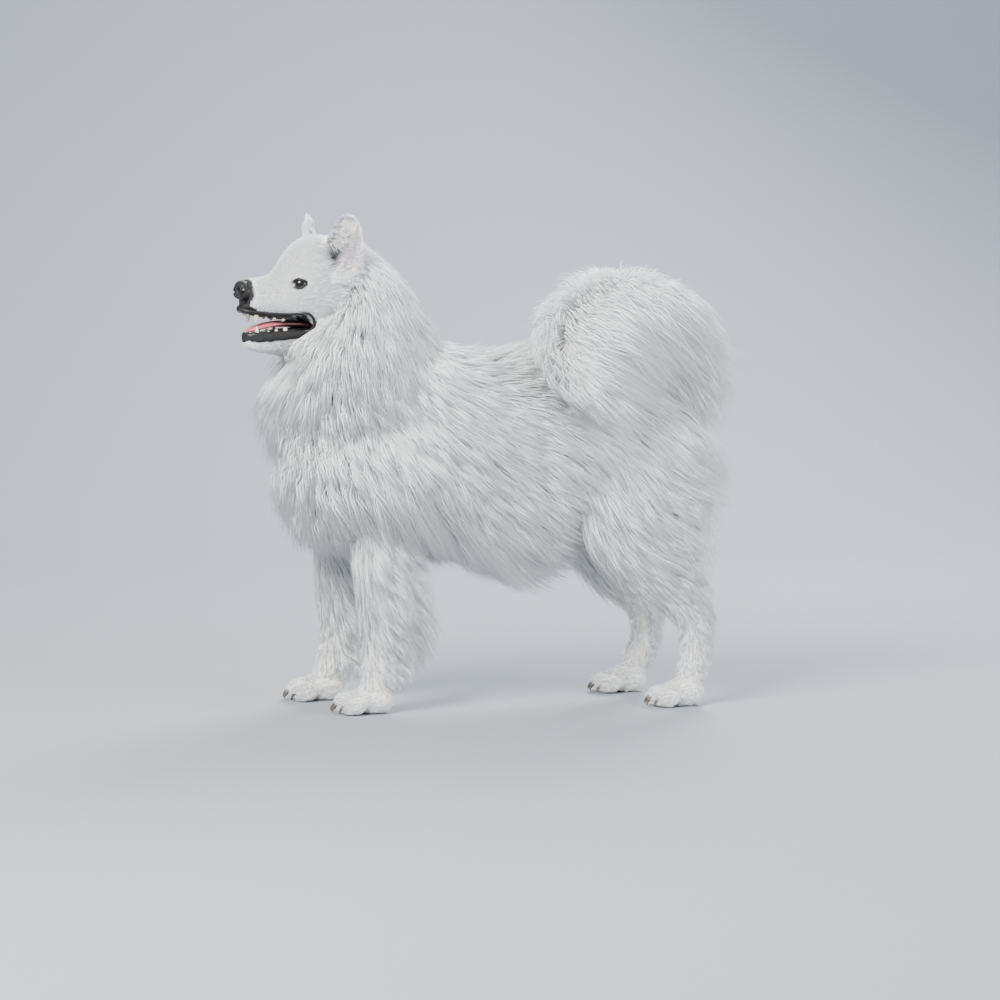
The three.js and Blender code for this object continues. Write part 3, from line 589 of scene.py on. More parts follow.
class StageSettings(bpy.types.PropertyGroup):
    """Floor, light and camera."""

    floor: bpy.props.FloatVectorProperty(
        name="Floor", description="Colour of the floor", default=(0.29, 0.31, 0.34), subtype="COLOR"
    )
    distance: bpy.props.FloatProperty(
        name="Distance", description="From the camera to the dog's middle", default=5, unit="LENGTH"
    )
    azimuth: bpy.props.FloatProperty(
        name="Azimuth",
        description="Of the camera, from straight abeam",
        default=math.radians(-10),
        subtype="ANGLE",
    )
    elevation: bpy.props.FloatProperty(
        name="Elevation",
        description="Of the camera over the floor",
        default=math.radians(5),
        subtype="ANGLE",
    )
    power: bpy.props.FloatProperty(
        name="Power", description="Of the main light, in watts", default=335, min=0
    )


# The flesh and the lie of the coat.
def head_ring(forward, top, low, half, square, taper, coat, reach):
    """A ring of the skull or the jaw, whose outer form is given and whose skin lies inside it by the coat."""
    rise = max((top - low) / 2 - coat, 2)
    centre = on_head(forward, 0, (top + low) / 2)
    inner = (rise, rise, max(half - coat, 3))
    return ring(centre, inner, (coat, coat, coat), (reach, 0), 0, square, taper)


def skull():
    """Muzzle, stop, forehead and crown. The hair lies back from the nose."""
    rows = [
        (113, -18, -44, 11, 2.2, 0.1, 2, 5),
        (108, -11, -54, 19, 2.4, 0.14, 2, 5),
        (98, -7, -60, 23.5, 2.7, 0.16, 2.5, 6),
        (80, -5, -64, 26, 2.8, 0.18, 3, 8),
        (62, -1, -67, 29, 2.7, 0.18, 3.5, 10),
        (48, 12, -70, 33.5, 2.5, 0.18, 4, 11),
        (36, 30, -74, 40, 2.3, 0.15, 4.5, 12),
        (22, 45, -79, 49, 2.2, 0.1, 5, 14),
        (5, 56, -86, 60, 2.2, 0.1, 6, 17),
        (-15, 61, -90, 70, 2.2, 0.12, 8, 22),
        (-40, 62, -88, 74, 2.2, 0.12, 10, 28),
        (-65, 56, -76, 70, 2.1, 0.1, 12, 32),
        (-86, 44, -60, 58, 2.1, 0.06, 13, 36),
        (-101, 26, -40, 38, 2, 0, 12, 36),
        (-107, 10, -18, 16, 2, 0, 8, 36),
    ]
    return Limb([head_ring(*row) for row in rows], UP, -FORWARD)


def mandible():
    """The lower jaw."""
    rows = [
        (104, -92, -106, 8, 2.2, 0, 2, 5),
        (98, -89, -112, 15, 2.4, 0, 2, 6),
        (85, -87, -117, 19, 2.6, -0.1, 3, 8),
        (65, -84, -121, 22, 2.6, -0.15, 3.5, 11),
        (42, -81, -125, 27, 2.5, -0.15, 4, 15),
        (20, -78, -127, 34, 2.3, -0.1, 5, 20),
        (-5, -76, -122, 41, 2.2, 0, 7, 26),
        (-30, -78, -112, 44, 2, 0, 9, 30),
        (-44, -84, -104, 36, 2, 0, 9, 30),
    ]
    return Limb([head_ring(*row) for row in rows], UP, -FORWARD)


def ear(way):
    """A prick ear. Its cup opens forwards and out, and the hair runs up it."""
    rows = [
        (-12, 20, 16, 30),
        (8, 19, 8, 32),
        (28, 17, 6, 33),
        (48, 14, 5, 31),
        (65, 11, 4, 25),
        (77, 8, 4, 17),
        (EAR_HEIGHT, 3.5, 3, 8),
    ]
    rings = []
    for up, out, inner, side in rows:
        rise = up / EAR_HEIGHT
        at = on_head(-22 - 12 * rise, (56 + 20 * rise) * way, up)
        inset = min(3.0, out / 2)
        reach = (out - inset, max(inner - 1, 2), side - inset)
        rings.append(ring(at, reach, (4, 2, 4), (12, 0), square=2.2))
    return Limb(rings, turned(-FORWARD, UP, EAR_TURN * way))


def neck():
    """From the crown down the crest and the throat to the chest."""
    rows = [
        ((-226, -5, 652), (36, 34, 50), (27, 10, 14), 60),
        ((-209, -4, 616), (44, 42, 56), (32, 24, 30), 70),
        ((-199, -2, 572), (55, 92, 66), (40, 92, 46), 84),
        ((-191, 0, 522), (70, 120, 82), (44, 80, 54), 90),
        ((-180, 0, 470), (90, 122, 94), (40, 72, 52), 90),
        ((-168, 0, 420), (92, 118, 98), (5, 84, 44), 80),
        ((-158, 0, 380), (80, 112, 88), (0, 84, 30), 70),
    ]
    return Limb([ring(at, reach, coat, (lie, 0)) for at, reach, coat, lie in rows], np.array([1, 0, 0.4]))


def trunk():
    """From the point of the chest to the croup. The hair lies back and down."""
    rows = [
        (-300, 430, 335, 34, (10, 20, 25), (30, 60), -62, 2),
        (-275, 475, 302, 70, (20, 50, 44), (50, 60), -54, 2),
        (-235, 505, 278, 94, (26, 72, 49), (60, 60), -44, 2),
        (-180, 530, 270, 108, (28, 68, 44), (70, 55), -15, 2.2),
        (-125, 545, 266, 112, (30, 118, 42), (75, 50), 0, 2.2),
        (-75, 522, 264, 111, (28, 128, 42), (72, 50), 0, 2.2),
        (-20, 508, 266, 105, (28, 118, 41), (70, 50), 0, 2.2),
        (40, 505, 276, 96, (44, 130, 39), (62, 50), 0, 2.2),
        (110, 508, 308, 88, (56, 134, 38), (60, 50), 0, 2),
        (180, 498, 334, 84, (30, 56, 38), (70, 50), 0, 2),
        (240, 466, 350, 70, (26, 40, 38), (60, 50), 12, 2),
        (276, 425, 370, 40, (20, 20, 30), (40, 50), 28, 2),
    ]
    made = []
    for x, top, low, half, coat, lie, ahead, square in rows:
        rise = (top - low) / 2
        made.append(ring((x, 0, (top + low) / 2), (rise, rise, half), coat, lie, ahead, square))
    return Limb(made, UP, REAR)


def leg_ring(side, step, fixed, x, y, z, fore_aft, across, coat, lie):
    """A ring of a leg. A step moves the foot forwards, most of it below a height, the rest at the pastern."""
    high = HIGH_STEP * np.clip((fixed - z) / (fixed * 0.5), 0, 1)
    low = (1 - HIGH_STEP) * np.clip((PASTERN - z) / 64, 0, 1)
    return ring((x - step * (high + low), side * y, z), (fore_aft, fore_aft, across), coat, lie)


def foreleg(side):
    """Straight, with feathering down its back."""
    y = LEG_SPREAD / 2
    step = FORE_STEP if side > 0 else 0
    rows = [
        (-176, y - 34, 345, 46, 22, (20, 8, 8), (45, -14)),
        (-184, y - 17, 298, 44, 27, (44, 10, 12), (50, -16)),
        (-192, y - 4, 260, 38, 29, (66, 10, 12), (52, -18)),
        (-198, y + 3, 205, 31, 26, (80, 9, 11), (50, -18)),
        (-193, y, 110, 25, 24, (78, 8, 9), (42, -16)),
        (-196, y, 62, 23, 24, (60, 7, 7), (30, -10)),
        (-202, y, 26, 20, 22, (12, 5, 5), (16, 0)),
    ]
    return Limb([leg_ring(side, step, 480, *row) for row in rows], REAR)


def hindleg(side):
    """Thigh with full breeches, then the hock."""
    y = LEG_SPREAD / 2 + 5
    step = HIND_STEP if side > 0 else 0
    rows = [
        (196, y - 38, 462, 50, 20, (18, 8, 16), (70, -55)),
        (194, y - 28, 425, 82, 36, (34, 10, 24), (78, -50)),
        (190, y - 14, 365, 92, 36, (58, 14, 26), (78, -45)),
        (186, y - 2, 300, 80, 38, (88, 24, 28), (74, -38)),
        (206, y + 4, 235, 52, 34, (98, 32, 26), (60, -25)),
        (245, y + 2, 180, 34, 26, (66, 24, 20), (45, -14)),
        (278, y, 135, 25, 20, (16, 12, 14), (34, -10)),
        (282, y, 92, 19, 17, (16, 9, 9), (26, -8)),
        (277, y, 54, 19, 19, (14, 7, 6), (20, -6)),
        (272, y, 24, 18, 19, (6, 4, 4), (14, 0)),
    ]
    return Limb([leg_ring(side, step, 340, *row) for row in rows], REAR)


def tail():
    """It rises from the croup, curls forwards over the back and falls on the left flank."""
    rows = [
        ((226, 0, 440), 28, (16, 8, 20), 0, (-50, 20)),
        ((258, 0, 490), 32, (62, 50, 40), -34, (-60, 40)),
        ((268, -2, 540), 32, (48, 72, 46), -30, (-55, 60)),
        ((242, -18, 586), 30, (46, 84, 50), -14, (-45, 70)),
        ((190, -46, 604), 28, (44, 86, 52), 0, (-25, 80)),
        ((134, -82, 588), 26, (86, 84, 50), 4, (10, 80)),
        ((98, -112, 546), 22, (102, 78, 44), 4, (45, 60)),
        ((98, -132, 498), 17, (66, 66, 36), 0, (50, 40)),
        ((134, -138, 466), 8, (40, 40, 24), 30, (40, 20)),
    ]
    made = [ring(at, (flesh,) * 3, coat, lie, ahead) for at, flesh, coat, ahead, lie in rows]
    return Limb(made, lambda centre: (centre - CURL_CENTRE) * [1, 0, 1])


def paw_at(fore, side):
    """A paw's sizes and where its middle is."""
    sizes = FOREPAW if fore else HINDPAW
    step = (FORE_STEP if fore else HIND_STEP) if side > 0 else 0
    y = side * (LEG_SPREAD / 2 + (0 if fore else 5))
    return sizes["x"] - step, y, sizes


def paw_line(fore, side):
    """A paw from heel to toes, for the lie of its hair."""
    x, y, sizes = paw_at(fore, side)
    length, width, height = sizes["length"], sizes["width"], sizes["height"]
    rows = [(0.42, 0.3, 0.30), (0.15, 0.5, 0.44), (-0.2, 0.45, 0.48), (-0.48, 0.3, 0.40), (-0.56, 0.1, 0.2)]
    made = [
        ring((x + length * f, y, height * 0.42), (height * h,) * 2 + (width * w,), (3.5,) * 3, (14, 0))
        for f, h, w in rows
    ]
    return Limb(made, UP, -REAR)


def paw_flesh(fore, side):
    """A paw's pad block and its four toes."""
    x, y, sizes = paw_at(fore, side)
    length, width, height = sizes["length"], sizes["width"], sizes["height"]
    inset = 3
    block = np.array([length * 0.36, width * 0.45, height * 0.62]) - inset
    parts = [ball([x + length * 0.1, y, height * 0.5], block)]
    for place in TOES:
        half = np.array([length * 0.22, width * 0.15, height * 0.42]) - [inset, inset / 2, inset]
        centre = [x - toe_reach(place, length), y + place * width * TOE_SPACING, height * 0.38]
        parts.append(ball(centre, half))
    return parts


def toe_reach(place, length):
    """How far a toe lies ahead of the paw's middle: the middle two go further."""
    return length * (0.22 if abs(place) > 1 else 0.31)


def eye_centre(way):
    """The middle of an eyeball."""
    return on_head(EYE["forward"], EYE["apart"] * way, EYE["up"])


def eye_axes(way):
    """Which way an eye looks, and the directions across and up its opening, whose outer corner is set up."""
    look = unit(turned(FORWARD, UP, EYE["turn"] * way) + 0.1 * UP)
    across = unit(np.cross(UP, look))
    above = np.cross(look, across)
    tilt = EYE_TILT * way
    c, s = math.cos(tilt), math.sin(tilt)
    return look, across * c + above * s, above * c - across * s


def limbs():
    """Every limb that carries coat, by name."""
    made = {"skull": skull(), "jaw": mandible(), "neck": neck(), "trunk": trunk(), "tail": tail()}
    for name, side in SIDES.items():
        made[f"ear_{name}"] = ear(-side)
        made[f"foreleg_{name}"] = foreleg(side)
        made[f"hindleg_{name}"] = hindleg(side)
        made[f"forepaw_{name}"] = paw_line(True, side)
        made[f"hindpaw_{name}"] = paw_line(False, side)
    return made


# Skin.
def lid_opening(points, way, grow=0.0):
    """How far inside the almond between the lids each point is, in shares: below 1 is inside."""
    look, across, above = eye_axes(way)
    away = points - eye_centre(way)
    x = (away @ across) / (EYE["radius"] * 0.86 + grow)
    y = (away @ above) / (EYE["radius"] * 0.5 + grow)
    ahead = away @ look
    inside = np.abs(x) ** 1.6 + np.abs(y) ** 1.6
    return np.where(ahead > 0, inside, 9.0)


def skin_flesh():
    """All the closed forms whose union is the flesh."""
    parts = []
    for name, limb in limbs().items():
        if "paw" in name:
            continue
        fine = "skull" in name or "jaw" in name or "ear" in name
        parts.append(limb.loft(90 if fine else 70, 64 if fine else 44))
    for side in SIDES.values():
        parts += paw_flesh(True, side) + paw_flesh(False, side)
        parts.append(ball(on_head(-30, 38 * side, -78), [34, 19, 31], HEAD_TURN))
        parts.append(ball(eye_centre(side), [EYE["radius"] + 1] * 3))
    return parts


def inside_mouth(points):
    """How far each point lies in the mouth, from 0 to 1, and how high it is over the middle of the gape."""
    forward, left, up = in_head(points)
    over = up - (-73 - 0.1 * (80 - forward))
    within = ramp(30 - 0.12 * forward - np.abs(left), 3, 9) * ramp(forward, -14, 2) * ramp(96 - forward, 0, 8)
    return within * ramp(18 - np.abs(over), 0, 5), over


def on_ear(points, way):
    """Each point's place up an ear, angle, distance and share to the front, and the way its back faces."""
    pinna = ear(way)
    place, angle, distance = pinna.nearest(points)
    sizes, _, out, left = pinna.axes(place)
    fore = ((points - sizes[:, :3]) * left).sum(1) / sizes[:, SIDE] * way
    return place, angle, distance, fore, out


def hollowed(points):
    """The skin's points, pushed into the eye sockets, the mouth, the cups of the ears and behind the nose."""
    for way in (1, -1):
        look = eye_axes(way)[0]
        depth = 1 - ramp(lid_opening(points, way, 1.0), 0.7, 1.1)
        points = points - depth[:, None] * look * 6
        place, angle, distance, fore, out = on_ear(points, way)
        bowl = np.clip(1 - fore**2, 0, 1) * ramp(place, 0.1, 0.3) * ramp(-place, -0.97, -0.75)
        inner = ramp(-np.cos(angle), 0.1, 0.5) * (distance < 1.3)
        points = points + out * ((13 * bowl + 7 * slot_of(place, fore)) * inner)[:, None]
    within, over = inside_mouth(points)
    rise = np.where(over > 0, 8, 3) * within
    points = points + rise[:, None] * UP
    forward, _, up = in_head(points)
    points = points - (np.maximum(forward - 102, 0) * ramp(up, -50, -44))[:, None] * FORWARD
    points[:, 2] = np.maximum(points[:, 2], 0)
    return points


def plume(points, place, tip, bend):
    """The tail's hair. What roots on its near and inner sides falls over the flank and sweeps to the rear."""
    centre = tail().sizes(place)[:, :3]
    away = unit(points - centre)
    outward = unit((centre - CURL_CENTRE) * [1, 0, 1])
    inner = ramp(-dot(away, outward), 0.0, 0.7)
    loose = np.maximum(ramp(-away[:, 1:2], 0.0, 0.7), inner) * ramp(place, 0.0, 0.12)[:, None]
    marks = [0, 0.3, 0.6, 0.8, 1]
    sweep = np.interp(place, marks, [0.5, 0.6, 0.75, 1.0, 1.0])[:, None]
    length = np.interp(place, marks, [92, 108, 128, 122, 95])[:, None]
    fall = unit(REAR * sweep - UP * (1 - 0.3 * sweep)) * length
    swept = fall + away * 0.3 * length
    return tip + (swept - tip) * loose, bend + (0.25 * fall + away * 0.4 * length - bend) * loose


def overhang(points):
    """What is added to the trunk's hair where it hangs over the upper arms and the fronts of the thighs."""
    x, y, z = points.T
    aside = np.sign(y)[:, None] * np.array([0, 1.0, 0])
    step = np.where(y > 0, 1.0, 0.0)
    added = 0
    for middle, reach, low, high, fall, out in (
        (-185 - 0.3 * FORE_STEP * step, 66, 285, 365, 60, 32),
        (100 - 0.2 * HIND_STEP * step, 48, 315, 410, 34, 38),
    ):
        near = np.exp(-(((x - middle) / reach) ** 2)) * ramp(z, low - 60, low) * ramp(-z, -high - 70, -high)
        added = added + (near * ramp(np.abs(y), 30, 70))[:, None] * (aside * out - UP * fall)
    return added


def lip_skin_and_shade(points):
    """How much each point lies on the black lip skin, widened by painted shade under the lower lip and in
    front under the nose.
    """
    line, _, low = lip_loop()
    dense = Limb([ring(p, (w, 1, 1)) for p, w in zip(line, low)], UP).sizes(np.linspace(0, 1, 300))
    near = np.nonzero(np.linalg.norm(points - on_head(50, 0, -80), axis=1) < 95)[0]
    away = np.linalg.norm(points[near, None] - dense[None, :, :3], axis=2)
    best = dense[np.argmin(away, axis=1)]
    ahead, lower = in_head(best[:, :3])[0], best[:, OUT]
    # Painted shade: the band is widened under the lower lip and in front of the upper one, below the nose.
    width = 3.5 + 5.5 * lower * ramp(ahead, 10, 40) + 5 * (1 - lower) * ramp(ahead, 88, 100)
    band = np.zeros(len(points))
    band[near] = ramp(width + 1.5 - away.min(axis=1), 0, 2.5)
    return band


def gape(points):
    """How much each point lies between the lips, near the corners of the mouth."""
    line, _, low = lip_loop()
    ahead, left, up = in_head(line)
    forward, _, height = in_head(points)
    edges = []
    for lip in (left > 0) & (low < 1), (left > 0) & (low > 0):
        order = np.argsort(ahead[lip])
        edges.append(np.interp(forward, ahead[lip][order], up[lip][order]))
    within = ramp(edges[0] - height, -1, 2) * ramp(height - edges[1], -1, 2)
    return within * ramp(forward - ahead.min(), -2, 3) * ramp(-forward, -96, -88)


def slot_of(place, fore):
    """The slot in an ear's cup, pushed in and painted black as the ear canal's shadow, by the place up the
    ear and how far to the front of it.
    """
    return ramp(place, 0.08, 0.16) * ramp(-place, -0.68, -0.5) * np.exp(-(((fore - 0.5) / 0.34) ** 2))


def cup_of(points, normals):
    """How much each point lies in an ear's cup, and how much in its slot, which is painted black as shadow,
    from 0 to 1.
    """
    deep, dark = 0, 0
    for way in (1, -1):
        place, _, distance, fore, out = on_ear(points, way)
        faces = -(normals * out).sum(1)
        own = ramp(1 + fore, 0.1, 0.35) * ramp(-fore, -1.05, -0.9) * ramp(faces, -0.1, 0.15)
        own = own * (distance < 1.6) * ramp(place, 0.06, 0.16) * ramp(-place, -0.95, -0.8)
        deep = deep + own
        # Painted shadow: the slot's share darkens the skin to black.
        dark = dark + own * slot_of(place, fore)
    return np.clip(deep, 0, 1), np.clip(dark, 0, 1)


def eased(values, edges, count, rounds):
    """Values at a mesh's points, evened out along its edges."""
    values = values.reshape(count, -1)
    a, b = edges.T
    degree = np.bincount(a, minlength=count) + np.bincount(b, minlength=count)
    for _ in range(rounds):
        total = values.copy()
        for k in range(values.shape[1]):
            total[:, k] += np.bincount(a, values[b, k], count) + np.bincount(b, values[a, k], count)
        values = total / (degree + 1)[:, None]
    return values


def hair_of(points):
    """Each limb's share of each point, its hair there, and the point's place along it and angle round it."""
    shares, tips, bends, places, angles = {}, {}, {}, {}, {}
    for name, limb in limbs().items():
        places[name], angles[name], distance = limb.nearest(points)
        shares[name] = np.exp(-9 * np.maximum(distance - 1, 0))
        tips[name], bends[name] = limb.hair(places[name], angles[name])
    tips["tail"], bends["tail"] = plume(points, places["tail"], tips["tail"], bends["tail"])
    tips["trunk"] = tips["trunk"] + overhang(points)
    under_jaw = ramp(points[:, 2], 470, 510) * ramp(-points[:, 2], -590, -550)
    under_jaw = under_jaw * ramp(-np.cos(angles["neck"]), 0.3, 0.8)
    tips["neck"] = tips["neck"] + under_jaw[:, None] * (28 * UP - 26 * REAR)
    total = sum(shares.values())
    shares = {name: share / total * (share > 0.06 * total) for name, share in shares.items()}
    return shares, tips, bends, places, angles


def covers_of(points, shares, places, angles):
    """How much each point belongs to each coat, and to the paws' soles."""

    def both(name):
        return shares[f"{name}_left"] + shares[f"{name}_right"]

    head = shares["skull"] + shares["jaw"]
    face = ramp(in_head(points)[0], -22, 2)
    front = ramp(-np.cos(angles["neck"]), -0.1, 0.3)
    chest = ramp(-points[:, 0], -BACK_CUT - 25, -BACK_CUT + 25)
    bib = ramp(-points[:, 0], 190, 240)
    hock, feather = 0, 0
    for side in SIDES:
        fore, hind = f"foreleg_{side}", f"hindleg_{side}"
        shank = ramp(places[hind], 0.46, 0.58)
        above_paw = {name: ramp(-places[name], -0.93, -0.86) for name in (fore, hind)}
        hock = hock + shares[hind] * shank
        feather = feather + shares[fore] * ramp(np.cos(angles[fore]), -0.1, 0.4) * above_paw[fore]
        feather = feather + shares[hind] * ramp(np.cos(angles[hind]), 0.0, 0.5) * (shank * above_paw[hind])
    paws = both("forepaw") + both("hindpaw")
    covers = {
        "face": head * face,
        "cheeks": head * (1 - face),
        "ears": both("ear"),
        "crest": shares["neck"] * (1 - front),
        "mane": shares["neck"] * front + shares["trunk"] * bib,
        "shoulders": shares["trunk"] * (1 - bib) * chest,
        "flanks": shares["trunk"] * (1 - chest),
        "tail": shares["tail"],
        "breeches": both("hindleg") - hock,
        "legs": both("foreleg") + hock - feather,
        "feathers": feather,
        "paws": paws,
    }
    return covers, paws * ramp(-points[:, 2], -4, -2)


def comb(made):
    """Gives each point of the skin its hair, its dark and bare places, and its share of each coat."""
    points = corners(made)
    count = len(points)
    shares, tips, bends, places, angles = hair_of(points)
    edges = np.zeros(len(made.data.edges) * 2, np.int64)
    made.data.edges.foreach_get("vertices", edges)
    edges = edges.reshape(-1, 2)
    for key, ways in (("tip", tips), ("bend", bends)):
        mixed = sum(share[:, None] * ways[name] for name, share in shares.items())
        store(made, key, eased(mixed, edges, count, 12) * MM)

    normals = np.zeros(count * 3, np.float32)
    made.data.vertices.foreach_get("normal", normals)
    cup, slot = cup_of(points, normals.reshape(-1, 3))
    store(made, "cup", cup)
    mouth = inside_mouth(points)[0]
    store(made, "mouth", mouth)
    covers, sole = covers_of(points, shares, places, angles)
    corner, lip = gape(points), lip_skin_and_shade(points)
    forward, _, up = in_head(points)
    tip_of_nose = shares["skull"] * ramp(forward - 6 * ramp(-up, 34, 46), 93.5, 96)
    bare, lids = np.ones(count), np.zeros(count)
    for way in (1, -1):
        bare *= ramp(lid_opening(points, way, 3.0), 0.9, 1.15)
        lids = np.maximum(lids, 1 - ramp(lid_opening(points, way, 2.6), 0.95, 1.2))
    bare *= 1 - np.maximum(ramp(mouth, 0.05, 0.3), corner)
    bare *= (1 - 0.88 * cup) * (1 - ramp(slot, 0.15, 0.4))
    bare *= (1 - tip_of_nose) * (1 - lip)
    # Painted shade: the back of the mouth and the corners between the lips are painted black as the shadow in
    # the throat.
    throat = np.maximum(mouth, corner) * ramp(-forward, -50, -30)
    # The dark mask: real black skin on the nose, pads, lids and lips, and painted shade in the throat, the
    # ears' slots and the lip band's wide parts.
    store(made, "dark", np.max([tip_of_nose, sole, lids, lip, throat, slot], axis=0))
    for name, cover in covers.items():
        store(made, f"cover_{name}", cover * bare * (points[:, 2] > 3))


def skin_material(settings):
    """Fine white down over pink skin, and the inside of the mouth painted near black as shade."""
    made, tree, surface = shader("fine white down")
    patches = noise(tree, 60, 4)
    down = blend_colors(tree, patches, tone(settings.color), tone(settings.color, 0.86))
    mouth, dark, cup = (stored(tree, name) for name in ("mouth", "dark", "cup"))
    # Painted shade: the mouth's red lining is painted near black, as the inside of the mouth lies in shadow.
    shaded_lining = blend_colors(tree, noise(tree, 90, 3), (0.035, 0.010, 0.012, 1), (0.010, 0.005, 0.006, 1))
    # Black: the real pigment of the nose, pads, lids and lips, and painted shade in the throat, the ears'
    # slots and the lip band's wide parts.
    black = blend_colors(tree, noise(tree, 300, 3), (0.006, 0.0055, 0.006, 1), (0.012, 0.011, 0.011, 1))
    # The ears' inner skin: pink, greyed and cooled as painted shade in the cups.
    pinna = blend_colors(tree, noise(tree, 80, 3), (0.40, 0.34, 0.36, 1), (0.25, 0.22, 0.26, 1))
    base = blend_colors(tree, mouth, blend_colors(tree, cup, down, pinna), shaded_lining)
    join_to(tree, blend_colors(tree, dark, base, black), surface, "Base Color")
    join_to(tree, remap(tree, mouth, least=0.85, most=0.3), surface, "Roughness")
    bumped(tree, surface, noise(tree, 700, 4), 0.5, 0.0006)
    return made


class SAMOYED_OT_skin(bpy.types.Operator):
    """Makes the skin over the flesh and combs it, so that each place knows how its hair lies"""

    bl_idname = "samoyed.skin"
    bl_label = "Skin"

    def execute(self, context):
        settings = context.scene.samoyed_skin
        skin = make("skin", skin_flesh())
        applied(skin, "REMESH", mode="VOXEL", voxel_size=settings.grain)
        applied(skin, "SMOOTH", factor=0.5, iterations=5)
        applied(skin, "DECIMATE", ratio=settings.kept)
        moved_to(skin, hollowed(corners(skin)))
        skin.data.shade_smooth()
        unwrap(skin)
        comb(skin)
        skin.data.materials.append(skin_material(settings))
        solids = [n for n in frame["nodes"] if not n.startswith(("eye", "nose", "tongue"))]
        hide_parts(*solids)
        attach(skin, "root")
        return {"FINISHED"}


def unwrap(made):
    """Unwraps a mesh by the slopes of its own shape, into the map that the tufts take their places from."""
    made.data.uv_layers.new(name="OFBake")
    bpy.context.view_layer.objects.active = made
    made.select_set(True)
    bpy.ops.object.mode_set(mode="EDIT")
    bpy.ops.mesh.select_all(action="SELECT")
    bpy.ops.uv.smart_project(angle_limit=math.radians(66), island_margin=0.002)
    bpy.ops.object.mode_set(mode="OBJECT")
    made.select_set(False)


# The bare parts of the head, and the claws.
def bare_piece(made, slot, material, *solids):
    """Gives a piece its material, hides the solids that it stands for, and ties it to the root body."""
    made.data.materials.append(material)
    if solids:
        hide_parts(*solids)
    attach(made, "root")


def leather(name, color, scale, depth, rough):
    """Moist dark skin in fine cells."""
    made, tree, surface = shader(name)
    place = node(tree, "ShaderNodeTexCoord", output="Object")
    cells = {"Vector": place, "Scale": scale}
    cell = node(tree, "ShaderNodeTexVoronoi", cells, "Distance", feature="DISTANCE_TO_EDGE")
    seams = remap(tree, cell, high=0.12)
    body = blend_colors(tree, noise(tree, 150, 3), tone(color), tone(color, 1.8))
    # Painted shade: the seams between the cells are half as dark, as the grooves lie in shade.
    join_to(tree, blend_colors(tree, seams, tone(color, 0.5), body), surface, "Base Color")
    sheen = remap(tree, noise(tree, 220, 2), least=rough - 0.08, most=rough + 0.12)
    join_to(tree, sheen, surface, "Roughness")
    surface.inputs["Specular IOR Level"].default_value = 0.3
    surface.inputs["Coat Weight"].default_value = 0.12
    surface.inputs["Coat Roughness"].default_value = 0.2
    bumped(tree, surface, seams, 0.6, depth)
    return made


def eyeball(way):
    """One eye's points and faces, with each point's angle from the iris's middle and its way round it."""
    look, across, above = eye_axes(way)
    off = np.linspace(0, math.pi, 46)[1:-1]
    angle = np.arange(56) * 2 * math.pi / 56
    reach = EYE["radius"] * (1 + 0.07 * np.exp(-((off / 0.55) ** 2)))
    circle = [np.outer(np.sin(off) * reach, turn(angle)) for turn in (np.cos, np.sin)]
    ahead = np.repeat((np.cos(off) * reach)[:, None], len(angle), axis=1)
    rings = sum(a[..., None] * axis for a, axis in zip((*circle, ahead), (across, above, look)))
    points, faces = closed(rings)
    points[-2:] = np.array([[1.07], [-1.0]]) * EYE["radius"] * look
    offs = np.concatenate([np.repeat(off, len(angle)), [0, math.pi]])
    spin = np.vstack([np.tile(np.stack([np.cos(angle), np.sin(angle)], 1), (len(off), 1)), [[0, 0], [0, 0]]])
    return points + eye_centre(way), faces, offs, np.column_stack([spin, 0.6 * offs])


def eye_material(settings):
    """A dark brown iris with fine rays round a black pupil, dark at its rim, under a wet surface."""
    made, tree, surface = shader("dark brown eye")
    off = stored(tree, "off")
    rays = noise(tree, 7, 5, stored(tree, "spin", "Vector"))
    iris = blend_colors(tree, rays, tone(settings.iris), tone(settings.iris, 2.5))
    pupil = remap(tree, off, 0.24, 0.28)
    rim = remap(tree, off, 0.60, 0.72)
    white = blend_colors(tree, noise(tree, 200, 3), (0.03, 0.018, 0.014, 1), (0.012, 0.007, 0.006, 1))
    seen = blend_colors(tree, pupil, (0.002, 0.002, 0.003, 1), iris)
    join_to(tree, blend_colors(tree, rim, seen, white), surface, "Base Color")
    surface.inputs["Roughness"].default_value = 0.05
    surface.inputs["Specular IOR Level"].default_value = 0.25
    surface.inputs["Coat Weight"].default_value = 0.3
    surface.inputs["Coat Roughness"].default_value = 0.02
    return made


def lid_rim(way):
    """The black edge of the lids: an almond drawn out at the inner corner, on the eye's own ball."""
    look, across, above = eye_axes(way)
    turn = np.linspace(0, 2 * math.pi, 49)
    x = np.sign(np.cos(turn)) * np.abs(np.cos(turn)) ** 1.25 * EYE["radius"] * 0.92
    y = np.sign(np.sin(turn)) * np.abs(np.sin(turn)) ** 1.25 * EYE["radius"] * 0.54
    inner = ramp(-x * way, EYE["radius"] * 0.6, EYE["radius"] * 0.9)
    x = x - way * inner * 2.8 + way * ramp(x * way, EYE["radius"] * 0.6, EYE["radius"] * 0.9) * 1.4
    ahead = np.sqrt(np.maximum((EYE["radius"] + 1.2) ** 2 - x**2 - y**2, 9.0))
    line = eye_centre(way) + x[:, None] * across + y[:, None] * above + ahead[:, None] * look
    thick = 1.4 + 0.5 * ramp(y, 0, 4) + 0.3 * inner
    return tube(line, thick, thick * 0.7, 10, look)


